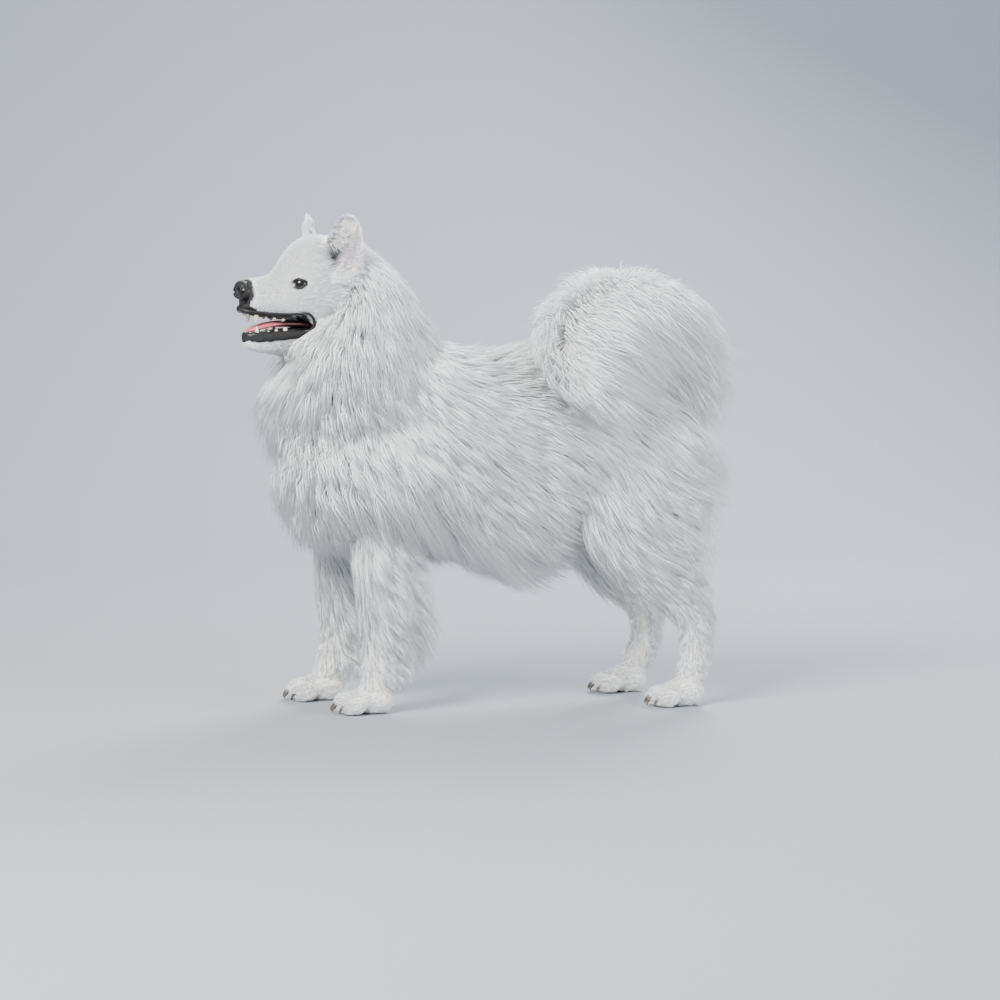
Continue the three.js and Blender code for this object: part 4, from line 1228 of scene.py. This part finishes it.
def nostril_depth(points):
    """How far each point of the nose is pushed in: two comma-shaped nostrils and the groove between them."""
    forward, left, up = in_head(points)
    depth = 2.2 * np.exp(-((left / 0.9) ** 2)) * ramp(-up, 24, 30)
    for way in (1, -1):
        hole = np.hypot((left - 7.8 * way) / 4.2, (up + 25.5) / 4.5)
        slit = np.hypot((left - 13.5 * way) / 5.0, (up + 28.5 - 0.15 * (left * way - 13)) / 1.9)
        depth = np.maximum(depth, 6.5 * (1 - ramp(np.minimum(hole, slit), 0.5, 1.1)))
    return depth * ramp(forward, 101, 105)


class SAMOYED_OT_eyes(bpy.types.Operator):
    """Makes the eyeballs and the black edges of their lids"""

    bl_idname = "samoyed.eyes"
    bl_label = "Eyes"

    def execute(self, context):
        settings = context.scene.samoyed_head
        wet = eye_material(settings)
        rims = leather("lid edge", settings.pigment, 1600, 0.0001, 0.4)
        for name, side in SIDES.items():
            points, faces, off, spin = eyeball(-side)
            made = make(f"eyeball_{name}", [(points, faces)])
            store(made, "off", off)
            store(made, "spin", spin)
            bare_piece(made, "eye", wet, f"eye_{name}")
            bare_piece(make(f"lids_{name}", [lid_rim(-side)]), "lips", rims)
        return {"FINISHED"}


class SAMOYED_OT_nose(bpy.types.Operator):
    """Makes the pebbled nose with its nostrils"""

    bl_idname = "samoyed.nose"
    bl_label = "Nose"

    def execute(self, context):
        settings = context.scene.samoyed_head
        made = make("nose_pad", [ball(on_head(*place), half, HEAD_TURN) for place, half in NOSE_PAD])
        applied(made, "REMESH", mode="VOXEL", voxel_size=0.0008)
        applied(made, "SMOOTH", factor=0.5, iterations=6)
        points = corners(made)
        points -= np.maximum(in_head(points)[0] - 113.5, 0)[:, None] * 0.45 * FORWARD
        moved_to(made, points - nostril_depth(points)[:, None] * FORWARD)
        applied(made, "SMOOTH", factor=0.5, iterations=2)
        made.data.shade_smooth()
        bare_piece(made, "nose", leather("nose leather", settings.pigment, 780, 0.0004, 0.34), "nose")
        return {"FINISHED"}


def gum_height(forward, upper):
    """How high the gum's edge is over the middle of the skull."""
    return -60 - (100 - forward) * 0.16 if upper else -90 + (100 - forward) * 0.12


def tooth(forward, left, radius, length, upper):
    """One tooth, with its points' shares of its height."""
    root = 5 if upper else 6
    line = []
    heights = np.linspace(0, 1, 9)
    for t in heights:
        up = gum_height(forward, upper) - math.copysign(root, length) * (1 - t) + length * t
        back = -0.22 * radius * (2 * t - 1) ** 2 if abs(length) > FANG else 0
        line.append(on_head(forward + 0.4 * radius * t + back, left * (1 - 0.03 * t), up))
    profile = 1 - heights ** (2.6 if abs(length) > FANG else 4)
    wide = radius * np.maximum(profile, 0.05)
    return tube(np.array(line), wide * 0.72, wide, 12, FORWARD), heights


def lip_line(limb, places, angles):
    """A lip's line from the middle of the front back to the corner, at given angles on the left side."""
    return np.vstack([limb.point(u, math.radians(a), 1.0) for u, a in zip(places, angles)])


def lip_loop():
    """The closed line of both lips, with its thickness and its share of lower lip."""
    places, angles = [0.05, 0.1, 0.17, 0.24, 0.31, 0.38, 0.45, 0.52], [180, 156, 142, 138, 137, 136, 134, 131]
    upper = lip_line(skull(), places, angles)
    places, angles = [0.03, 0.1, 0.2, 0.3, 0.4, 0.5, 0.6, 0.66], [0, 30, 44, 48, 50, 52, 54, 56]
    lower = lip_line(mandible(), places, angles)
    corner = (upper[-1] + lower[-1]) / 2 - 9 * FORWARD
    half = np.vstack([upper, corner[None], lower[::-1]])
    thick = np.array([4.4, 3.4, 2.5, 2.2, 2.1, 2.0, 2.0, 2.0, 2.0, 2.4, 2.7, 3.0, 3.2, 3.3, 3.3, 3.2, 3.0])
    low = np.concatenate([np.zeros(8), [0.5], np.ones(8)])
    other = half - 2 * in_head(half)[1][:, None] * LEFT
    line = np.vstack([half, other[-2:0:-1], half[:1]])
    return line, *(np.concatenate([one, one[-2:0:-1], one[:1]]) for one in (thick, low))


def lips():
    """Both lips. The lower one has a wavy, knobbled edge."""
    line, thick, low = lip_loop()
    run = np.linspace(0, 1, LIP_POINTS)
    dense = Limb([ring(p, (t, w, 1)) for p, t, w in zip(line, thick, low)], UP).sizes(run)
    wave = 0.8 * np.sin(run * 190) + 0.5 * np.sin(run * 331 + 1)
    wave = wave * dense[:, IN] * ramp(-np.abs(run - 0.5), -0.2, -0.06)
    front = ramp(-np.abs(run - 0.5), -0.3, -0.12) * dense[:, IN]
    tall = dense[:, OUT] + 4.2 * front
    centres = dense[:, :3] + (wave * 0.8 - 3.4 * front)[:, None] * UP
    return tube(centres, dense[:, OUT], tall, 14)


def gum(upper):
    """The gum behind one row of teeth."""
    row = UPPER_TEETH if upper else LOWER_TEETH
    half = [(f, left, gum_height(f, upper) + (3.5 if upper else -4)) for f, left, *_ in row]
    half.append((30, half[-1][1] + 2, half[-1][2] + (-1.5 if upper else 1.5)))
    whole = [on_head(f, -left, up) for f, left, up in reversed(half)] + [on_head(*place) for place in half]
    return tube(through(whole, 80), 3.6, 4.4, 10)


def tongue_limb():
    """The tongue's rings from its tip to its root."""
    rows = [
        (99, -86, 1.0, 3),
        (95, -84, 2.6, 10),
        (84, -80.5, 3.8, 14.5),
        (62, -76, 4.5, 16),
        (40, -75, 5, 18),
        (15, -76, 5, 19),
        (-4, -79, 4, 16),
    ]
    rings = [ring(on_head(f, 0, up), (thick, thick, half), square=2.3) for f, up, thick, half in rows]
    return Limb(rings, UP)


def flesh_material(name, color, scale, rough):
    """Moist pink flesh in fine grains, darkened towards its root as painted shade at the back of the mouth.
    """
    made, tree, surface = shader(name)
    body = blend_colors(tree, noise(tree, 60, 4), tone(color), tone(color, 0.72))
    grain = noise(tree, scale, 3)
    pink = blend_colors(tree, grain, tone(color, 0.8), body)
    # Painted shade: the flesh darkens towards its root, which lies in the shadow at the back of the mouth.
    root = tone(color, 0.12)
    join_to(tree, blend_colors(tree, stored(tree, "share"), root, pink), surface, "Base Color")
    sheen = remap(tree, noise(tree, 200, 2), least=rough - 0.1, most=rough + 0.1)
    join_to(tree, sheen, surface, "Roughness")
    surface.inputs["Coat Weight"].default_value = 0.4
    surface.inputs["Coat Roughness"].default_value = 0.15
    bumped(tree, surface, grain, 0.5, 0.0004)
    return made


def ivory(name, tip, root):
    """Hard pale stuff that changes colour from its root to its tip."""
    made, tree, surface = shader(name)
    grain = noise(tree, 500, 3)
    ends = blend_colors(tree, stored(tree, "share"), tone(root), tone(tip))
    join_to(tree, blend_colors(tree, grain * 0.3, ends, tone(root, 0.7)), surface, "Base Color")
    join_to(tree, remap(tree, grain, least=0.18, most=0.34), surface, "Roughness")
    bumped(tree, surface, grain, 0.2, 0.0001)
    return made


class SAMOYED_OT_mouth(bpy.types.Operator):
    """Makes the lips, the gums, the teeth and the tongue"""

    bl_idname = "samoyed.mouth"
    bl_label = "Mouth"

    def execute(self, context):
        settings = context.scene.samoyed_head
        bare_piece(make("lips", [lips()]), "lips", leather("lip skin", settings.pigment, 1100, 0.0003, 0.36))
        gums = make("gums", [gum(True), gum(False)])
        bare_piece(gums, "lips", leather("black gum", tone(settings.pigment, 1.4), 900, 0.0002, 0.3))
        made, shares = [], []
        for row, upper in ((UPPER_TEETH, True), (LOWER_TEETH, False)):
            for forward, left, radius, length in row:
                for way in (1, -1):
                    shape, heights = tooth(forward, left * way, radius, length, upper)
                    made.append(shape)
                    shares += [np.repeat(heights, 12), [0, 1]]
        teeth = make("teeth", made)
        store(teeth, "share", np.concatenate(shares))
        root = tone(settings.teeth, 0.85, 0.75, 0.6)
        bare_piece(teeth, "teeth", ivory("tooth", settings.teeth, root))
        tongue = make("tongue_skin", [tongue_limb().loft(70, 44)])
        points = corners(tongue)
        forward, left, up = in_head(points)
        over = up > np.interp(-forward, [-99, -84, -62, 4], [-86, -80.5, -76, -79])
        groove = 2.6 * np.exp(-((left / 2.6) ** 2)) * ramp(forward, -5, 20) * over
        moved_to(tongue, points - groove[:, None] * UP)
        # By this share the tongue's rear is painted in shade.
        store(tongue, "share", ramp(forward, 42, 66))
        bare_piece(tongue, "tongue", flesh_material("tongue", settings.tongue, 900, 0.36), "tongue")
        return {"FINISHED"}


class SAMOYED_OT_claws(bpy.types.Operator):
    """Makes the sixteen claws"""

    bl_idname = "samoyed.claws"
    bl_label = "Claws"

    def execute(self, context):
        made, shares = [], []
        for fore in (True, False):
            for side in SIDES.values():
                x, y, sizes = paw_at(fore, side)
                length, width, height = sizes["length"], sizes["width"], sizes["height"]
                for place in TOES:
                    front = x - toe_reach(place, length)
                    aside = y + place * width * TOE_SPACING
                    line = [
                        (front - length * 0.10, aside, height * 0.40),
                        (front - length * 0.185, aside, height * 0.33),
                        (front - length * 0.235, aside, height * 0.19),
                        (front - length * 0.24, aside, height * 0.07),
                    ]
                    thick = 2.6 * (1 - np.linspace(0, 1, 14) ** 2.2) + 0.3
                    made.append(tube(through(np.array(line), 14), thick * 0.75, thick, 10))
                    shares += [np.repeat(np.linspace(0, 1, 14), 10), [0, 1]]
        claws = make("claws", made)
        store(claws, "share", np.concatenate(shares))
        bare_piece(claws, "claws", ivory("dark horn", (0.16, 0.13, 0.10), (0.035, 0.03, 0.028)))
        return {"FINISHED"}


# Coat.
def tuft(name, seed, strands, segments, spread, converge, girth, fray):
    """One lock as bare topology: each point keeps its share of the length and its place across the lock, in
    lock widths, and the coat's tree puts it in place. Strands start apart and draw together at their tips."""
    draw = np.random.default_rng(seed)
    share, aside, above, faces = [], [], [], []
    for _ in range(strands):
        start = len(share)
        angle = draw.uniform(0, 2 * math.pi)
        radius = spread * math.sqrt(draw.uniform(0, 1)) * 0.5
        root = np.array([math.cos(angle), 0.6 * math.sin(angle)]) * radius
        end = root * converge + draw.normal(0, fray, 2)
        reach = draw.uniform(0.78, 1.0)
        twist = draw.uniform(0, 2 * math.pi)
        sway = draw.normal(0, 0.10, 2)
        for step in range(segments):
            t = step / segments
            centre = root + (end - root) * t + sway * math.sin(math.pi * t)
            thick = girth * (0.75 + 0.5 * t - 1.05 * t**2)
            for corner in range(3):
                turn = twist + corner * 2 * math.pi / 3
                share.append(reach * t)
                aside.append(centre[0] + thick * math.cos(turn))
                above.append(centre[1] + thick * 0.55 * math.sin(turn))
        share.append(reach)
        aside.append(end[0])
        above.append(end[1])
        tip = len(share) - 1
        faces.append((start, start + 2, start + 1))
        for i in range(start, tip - 3, 3):
            faces += [(i + c, i + (c + 1) % 3, i + 3 + (c + 1) % 3, i + 3 + c) for c in range(3)]
        faces += [(tip - 3 + c, tip - 3 + (c + 1) % 3, tip) for c in range(3)]
    mesh = bpy.data.meshes.new(name)
    mesh.from_pydata([(0, 0, 0)] * len(share), [], faces)
    made = bpy.data.objects.new(name, mesh)
    for key, values in (("share", share), ("aside", aside), ("above", above)):
        store(made, key, np.array(values))
    return made


def draws(tree, low, high, seed):
    """A random number for each root."""
    return node(tree, "FunctionNodeRandomValue", {"Min": low, "Max": high, "Seed": seed}, data_type="FLOAT")


def coat_tree():
    """Sows roots on the skin and lays a lock from each, along the way that the skin was combed."""
    tree = bpy.data.node_groups.new("Coat", "GeometryNodeTree")
    measures = "Density Spacing Width Shortest Flattest Stray Wander Clumps".split()
    inputs = [("Skin", "Geometry"), ("Locks", "Collection"), ("Cover", "String")]
    inputs += [(name, "Float") for name in measures] + [("Seed", "Int"), ("Finish", "Material")]
    for name, kind in inputs:
        tree.interface.new_socket(name, in_out="INPUT", socket_type=f"NodeSocket{kind}")
    tree.interface.new_socket("Coat", in_out="OUTPUT", socket_type="NodeSocketGeometry")
    group = tree.nodes.new("NodeGroupInput")
    given = {name: Field(tree, group.outputs[name]) for name, _ in inputs}
    vector = "FLOAT_VECTOR"

    cover = attribute(tree, given["Cover"], "FLOAT")
    sown = tree.nodes.new("GeometryNodeDistributePointsOnFaces")
    sown.distribute_method = "POISSON"
    takes = {"Mesh": "Skin", "Distance Min": "Spacing", "Density Max": "Density", "Seed": "Seed"}
    for key, name in takes.items():
        tree.links.new(given[name].socket, sown.inputs[key])
    tree.links.new(cover.socket, sown.inputs["Density Factor"])

    def keep(geometry, name, value, kind, domain):
        fields = {"Geometry": geometry, "Name": name, "Value": value}
        return node(tree, "GeometryNodeStoreNamedAttribute", fields, data_type=kind, domain=domain)

    roots, normal = (Field(tree, sown.outputs[name]) for name in ("Points", "Normal"))
    roots = keep(roots, "out", normal, vector, "POINT")
    roots = keep(roots, "seat", attribute(tree, "OFBake", vector), vector, "POINT")
    shortest, flattest = given["Shortest"], given["Flattest"]
    for name, low, high, extra in (
        ("reach", shortest, 1.06, 1),
        ("rise", flattest, 1.04, 2),
        ("lean", -1.0, 1.0, 3),
        ("girth", 0.75, 1.25, 4),
        ("tint", 0.0, 1.0, 5),
    ):
        roots = keep(roots, name, draws(tree, low, high, given["Seed"] + extra * 101.0), "FLOAT", "POINT")
    roots = node(tree, "GeometryNodeRemoveAttribute", {"Geometry": roots, "Name": "OFBake"})
    locks = {"Collection": given["Locks"], "Separate Children": True, "Reset Children": True}
    kinds = node(tree, "GeometryNodeCollectionInfo", locks)
    fields = {"Points": roots, "Instance": kinds, "Pick Instance": True}
    placed = node(tree, "GeometryNodeInstanceOnPoints", fields)
    coat = node(tree, "GeometryNodeRealizeInstances", {"Geometry": placed})

    def read(name, kind="FLOAT"):
        return attribute(tree, name, kind)

    out, share, reach, rise = read("out", vector), read("share"), read("reach"), read("rise")
    place = node(tree, "GeometryNodeInputPosition")

    def leant(name):
        way = read(name, vector)
        angle = read("lean") * given["Stray"]
        fields = {"Vector": way, "Axis": out, "Angle": angle}
        way = node(tree, "ShaderNodeVectorRotate", fields, rotation_type="AXIS_ANGLE") * reach
        return way + out * (way.dot(out) * (rise - 1.0))

    tip, bend = leant("tip"), leant("bend")
    across = out.cross(tip)
    over = tip.cross(across)
    width = given["Width"] * read("girth")
    along = bend * (share * 2.0 - share * share * 2.0) + tip * (share * share)
    fields = {"Vector": place, "Scale": given["Clumps"], "Detail": 1.0}
    drift = node(tree, "ShaderNodeTexNoise", fields, "Color")
    centred = node(tree, "ShaderNodeVectorMath", {0: drift, 1: (-0.5, -0.5, -0.5)}, operation="ADD")
    drift = centred * (share * given["Wander"] * 2.0)
    offset = along + across * (read("aside") * width) + over * (read("above") * width) + drift
    coat = node(tree, "GeometryNodeSetPosition", {"Geometry": coat, "Offset": offset})
    patch = node(tree, "ShaderNodeCombineXYZ", {"X": read("aside"), "Y": share, "Z": 0.0}) * 0.0015
    coat = keep(coat, "OFBake", read("seat", vector) + patch, "FLOAT2", "CORNER")
    coat = node(tree, "GeometryNodeSetShadeSmooth", {"Geometry": coat})
    coat = node(tree, "GeometryNodeSetMaterial", {"Geometry": coat, "Material": given["Finish"]})
    for name in "seat out tip bend reach rise lean girth aside above mouth dark cup".split():
        coat = node(tree, "GeometryNodeRemoveAttribute", {"Geometry": coat, "Name": name})
    wildcard = {"Geometry": coat, "Name": "cover_*"}
    coat = node(tree, "GeometryNodeRemoveAttribute", wildcard, pattern_mode="WILDCARD")
    end = tree.nodes.new("NodeGroupOutput")
    tree.links.new(coat.socket, end.inputs["Coat"])
    return tree


# Each coat: how many locks it has, its lock's width in millimetres, how short and flat the least ones are,
# how far they stray and wander, and the lock that it is made of.
COAT_FIELDS = ("locks", "width", "shortest", "flattest", "stray", "wander", "kind")
COAT_ROWS = {
    "face": (4600, 4.2, 0.7, 0.6, 0.25, 0.5, "down"),
    "cheeks": (2000, 8, 0.65, 0.6, 0.3, 2, "short"),
    "ears": (2400, 4, 0.6, 0.5, 0.25, 1, "down"),
    "crest": (1150, 17, 0.78, 0.8, 0.25, 4, "long"),
    "mane": (1450, 19, 0.78, 0.82, 0.25, 6, "long"),
    "shoulders": (1400, 18, 0.78, 0.82, 0.25, 6, "long"),
    "flanks": (1450, 18, 0.8, 0.85, 0.25, 6, "long"),
    "tail": (1500, 19, 0.75, 0.75, 0.3, 9, "long"),
    "breeches": (1350, 16, 0.8, 0.85, 0.25, 7, "long"),
    "legs": (2100, 7, 0.6, 0.5, 0.2, 1.5, "short"),
    "feathers": (1000, 10, 0.8, 0.85, 0.25, 4, "long"),
    "paws": (2400, 4.5, 0.6, 0.4, 0.25, 0.6, "down"),
}
COATS = {name: dict(zip(COAT_FIELDS, row)) for name, row in COAT_ROWS.items()}
LOCK_KINDS = {
    "long": {"strands": 12, "segments": 2, "spread": 1.0, "converge": 0.75, "girth": 0.045, "fray": 0.20},
    "short": {"strands": 5, "segments": 2, "spread": 1.0, "converge": 0.7, "girth": 0.085, "fray": 0.20},
    "down": {"strands": 6, "segments": 1, "spread": 1.0, "converge": 0.9, "girth": 0.10, "fray": 0.20},
}
VARIANTS = 5


def coat_material(settings):
    """White hair: greyer and bluer at its roots as painted shade deep in the coat, each lock a little unlike
    the next.
    """
    made, tree, surface = shader("white hair")
    tint = stored(tree, "tint")
    # Painted shade: the hair turns from the tips' white to the roots' grey-blue near the skin.
    depth = remap(tree, stored(tree, "share"), 0.1, 0.75)
    body = blend_colors(tree, depth, tone(settings.roots), tone(settings.tips))
    warm, cool = tone(settings.tips, 0.97, 0.94, 0.88), tone(settings.tips, 0.90, 0.94, 0.99)
    drift = blend_colors(tree, noise(tree, 9, 3), warm, cool)
    join_to(tree, blend_colors(tree, tint * 0.35, body, drift), surface, "Base Color")
    join_to(tree, remap(tree, tint, least=0.55, most=0.75), surface, "Roughness")
    surface.inputs["Sheen Weight"].default_value = 0.15
    surface.inputs["Specular IOR Level"].default_value = 0.3
    return made


def mean_cover(skin, name):
    """The area of skin under a coat, in square metres."""
    mesh = skin.data
    mesh.calc_loop_triangles()
    ids = np.zeros(len(mesh.loop_triangles) * 3, np.int64)
    mesh.loop_triangles.foreach_get("vertices", ids)
    areas = np.zeros(len(mesh.loop_triangles))
    mesh.loop_triangles.foreach_get("area", areas)
    cover = np.zeros(len(mesh.vertices), np.float32)
    mesh.attributes[f"cover_{name}"].data.foreach_get("value", cover)
    return float((areas * cover[ids.reshape(-1, 3)].mean(1)).sum())


def grow(name, skin, tree, finish, settings, order):
    """Makes one coat piece from the combed skin."""
    coat = COATS[name]
    kind = LOCK_KINDS[coat["kind"]]
    locks = bpy.data.collections.new(f"locks_{name}")
    for k in range(VARIANTS):
        locks.objects.link(tuft(f"lock_{name}_{k}", 100 * order + k, **kind))
    density = coat["locks"] * settings.fullness / mean_cover(skin, name)
    carrier = bpy.data.objects.new(f"coat_{name}", skin.data.copy())
    bpy.context.scene.collection.objects.link(carrier)
    values = {
        "Locks": locks,
        "Cover": f"cover_{name}",
        "Density": density * 1.9,
        "Spacing": 0.62 / math.sqrt(density),
        "Width": coat["width"] * MM,
        "Shortest": coat["shortest"],
        "Flattest": coat["flattest"],
        "Stray": coat["stray"],
        "Wander": coat["wander"] * MM,
        "Clumps": 1.0 / (4.5 * coat["width"] * MM),
        "Seed": settings.seed + order,
        "Finish": finish,
    }
    modifier = carrier.modifiers.new("Coat", "NODES")
    modifier.node_group = tree
    for item in tree.interface.items_tree:
        if item.in_out == "INPUT" and item.name in values:
            modifier[item.identifier] = values[item.name]
    baked(carrier)
    for made in list(locks.objects):
        mesh = made.data
        bpy.data.objects.remove(made)
        bpy.data.meshes.remove(mesh)
    bpy.data.collections.remove(locks)
    points = corners(carrier)
    points[:, 2] = np.maximum(points[:, 2], 0.1)
    moved_to(carrier, points)
    count = sum(len(p.vertices) - 2 for p in carrier.data.polygons)
    print(f"coat {name}: {count} triangles")
    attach(carrier, "root")
    return carrier


class SAMOYED_OT_coat(bpy.types.Operator):
    """Grows the whole coat, one piece for each part of the body"""

    bl_idname = "samoyed.coat"
    bl_label = "Coat"

    def execute(self, context):
        settings = context.scene.samoyed_coat
        skin = bpy.data.objects.get("skin")
        if skin is None:
            raise RuntimeError("the coat grows on the skin, so the skin is made first")
        tree = coat_tree()
        finish = coat_material(settings)
        for order, name in enumerate(COATS):
            grow(name, skin, tree, finish, settings, order)
        return {"FINISHED"}


# Stage, in metres: where the floor starts and ends, how it bends up into the wall, and the camera's aim.
FLOOR_FRONT, FLOOR_REAR, FLOOR_HALF = -3.5, 2.0, 6.0
BEND, BEND_STEPS, WALL_TOP = 1.3, 14, 4.5
AIM_HEIGHT = 306  # in the maker's millimetres


def area_light(name, place, target, size, power, color):
    """A square soft light that points at a place."""
    data = bpy.data.lights.new(name, "AREA")
    data.shape = "SQUARE"
    data.size = size
    data.energy = power
    data.color = color
    made = bpy.data.objects.new(name, data)
    made.location = place
    made.rotation_euler = (Vector(target) - Vector(place)).to_track_quat("-Z", "Y").to_euler()
    bpy.context.scene.collection.objects.link(made)


def backdrop():
    """A floor that bends up into a wall behind the dog, in metres."""
    turns = [math.pi / 2 * k / BEND_STEPS for k in range(1, BEND_STEPS + 1)]
    profile = [(FLOOR_FRONT, 0.0), (FLOOR_REAR, 0.0)]
    profile += [(FLOOR_REAR + BEND * math.sin(turn), BEND * (1 - math.cos(turn))) for turn in turns]
    profile.append((FLOOR_REAR + BEND, WALL_TOP))
    points = [(x, y, z) for y, z in profile for x in (-FLOOR_HALF, FLOOR_HALF)]
    faces = [(2 * i, 2 * i + 1, 2 * i + 3, 2 * i + 2) for i in range(len(profile) - 1)]
    mesh = bpy.data.meshes.new("floor")
    mesh.from_pydata(points, [], faces)
    mesh.shade_smooth()
    floor = bpy.data.objects.new("floor", mesh)
    bpy.context.scene.collection.objects.link(floor)
    return floor


class SAMOYED_OT_stage(bpy.types.Operator):
    """Sets the floor, the soft lights and the camera"""

    bl_idname = "samoyed.stage"
    bl_label = "Stage"

    def execute(self, context):
        settings = context.scene.samoyed_stage
        floor = backdrop()
        made, tree, surface = shader("pale floor")
        tones = [tone(settings.floor, share) for share in (1.0, 0.97)]
        join_to(tree, blend_colors(tree, noise(tree, 3, 2), *tones), surface, "Base Color")
        surface.inputs["Roughness"].default_value = 0.9
        floor.data.materials.append(made)

        middle = (SHIFT + [0, 0, AIM_HEIGHT]) * MM
        area_light("key", (-1.9, -2.2, 2.6), middle, 1.6, settings.power, (1.0, 0.98, 0.95))
        area_light("fill", (2.6, -2.4, 1.2), middle, 2.2, settings.power * 0.35, (0.90, 0.95, 1.0))
        area_light("rim", (1.2, 2.2, 2.4), middle, 1.4, settings.power * 0.6, (0.95, 0.97, 1.0))
        world = bpy.data.worlds.new("soft room")
        context.scene.world = world
        world.use_nodes = True
        sky = world.node_tree.nodes["Background"]
        sky.inputs["Color"].default_value = (0.84, 0.92, 1.0, 1.0)
        sky.inputs["Strength"].default_value = 0.9

        data = bpy.data.cameras.new("camera")
        data.lens = 120
        data.sensor_width = 36
        data.clip_end = 50
        camera = bpy.data.objects.new("camera", data)
        a, e = settings.azimuth, settings.elevation
        back = Vector((math.sin(a) * math.cos(e), -math.cos(a) * math.cos(e), math.sin(e)))
        camera.location = Vector(middle) + back * settings.distance
        camera.rotation_euler = back.to_track_quat("Z", "Y").to_euler()
        context.scene.collection.objects.link(camera)
        context.scene.camera = camera
        return {"FINISHED"}


class SAMOYED_PT_panel(bpy.types.Panel):
    """Lists the makers and their settings"""

    bl_idname = "SAMOYED_PT_panel"
    bl_label = "Standing Samoyed"
    bl_space_type = "VIEW_3D"
    bl_region_type = "UI"
    bl_category = "Samoyed"

    def draw(self, context):
        scene = context.scene
        for operator in OPERATORS:
            self.layout.operator(operator.bl_idname)
        for group in SETTINGS:
            box = self.layout.box()
            for name in SETTINGS[group].__annotations__:
                box.prop(getattr(scene, group), name)


SETTINGS = {
    "samoyed_skin": SkinSettings,
    "samoyed_coat": CoatSettings,
    "samoyed_head": HeadSettings,
    "samoyed_stage": StageSettings,
}
OPERATORS = [
    SAMOYED_OT_skin,
    SAMOYED_OT_eyes,
    SAMOYED_OT_nose,
    SAMOYED_OT_mouth,
    SAMOYED_OT_claws,
    SAMOYED_OT_coat,
    SAMOYED_OT_stage,
]


def register():
    """Registers the classes and hangs the settings on the scene."""
    for name, group in SETTINGS.items():
        bpy.utils.register_class(group)
        setattr(bpy.types.Scene, name, bpy.props.PointerProperty(type=group))
    for made in (*OPERATORS, SAMOYED_PT_panel):
        bpy.utils.register_class(made)


def unregister():
    """Takes away what register made."""
    for made in (SAMOYED_PT_panel, *reversed(OPERATORS)):
        bpy.utils.unregister_class(made)
    for name, group in SETTINGS.items():
        delattr(bpy.types.Scene, name)
        bpy.utils.unregister_class(group)


def main():
    """Builds the dog and its stage."""
    register()
    for operator in OPERATORS:
        space, name = operator.bl_idname.split(".")
        getattr(getattr(bpy.ops, space), name)()


if __name__ == "__main__":
    main()
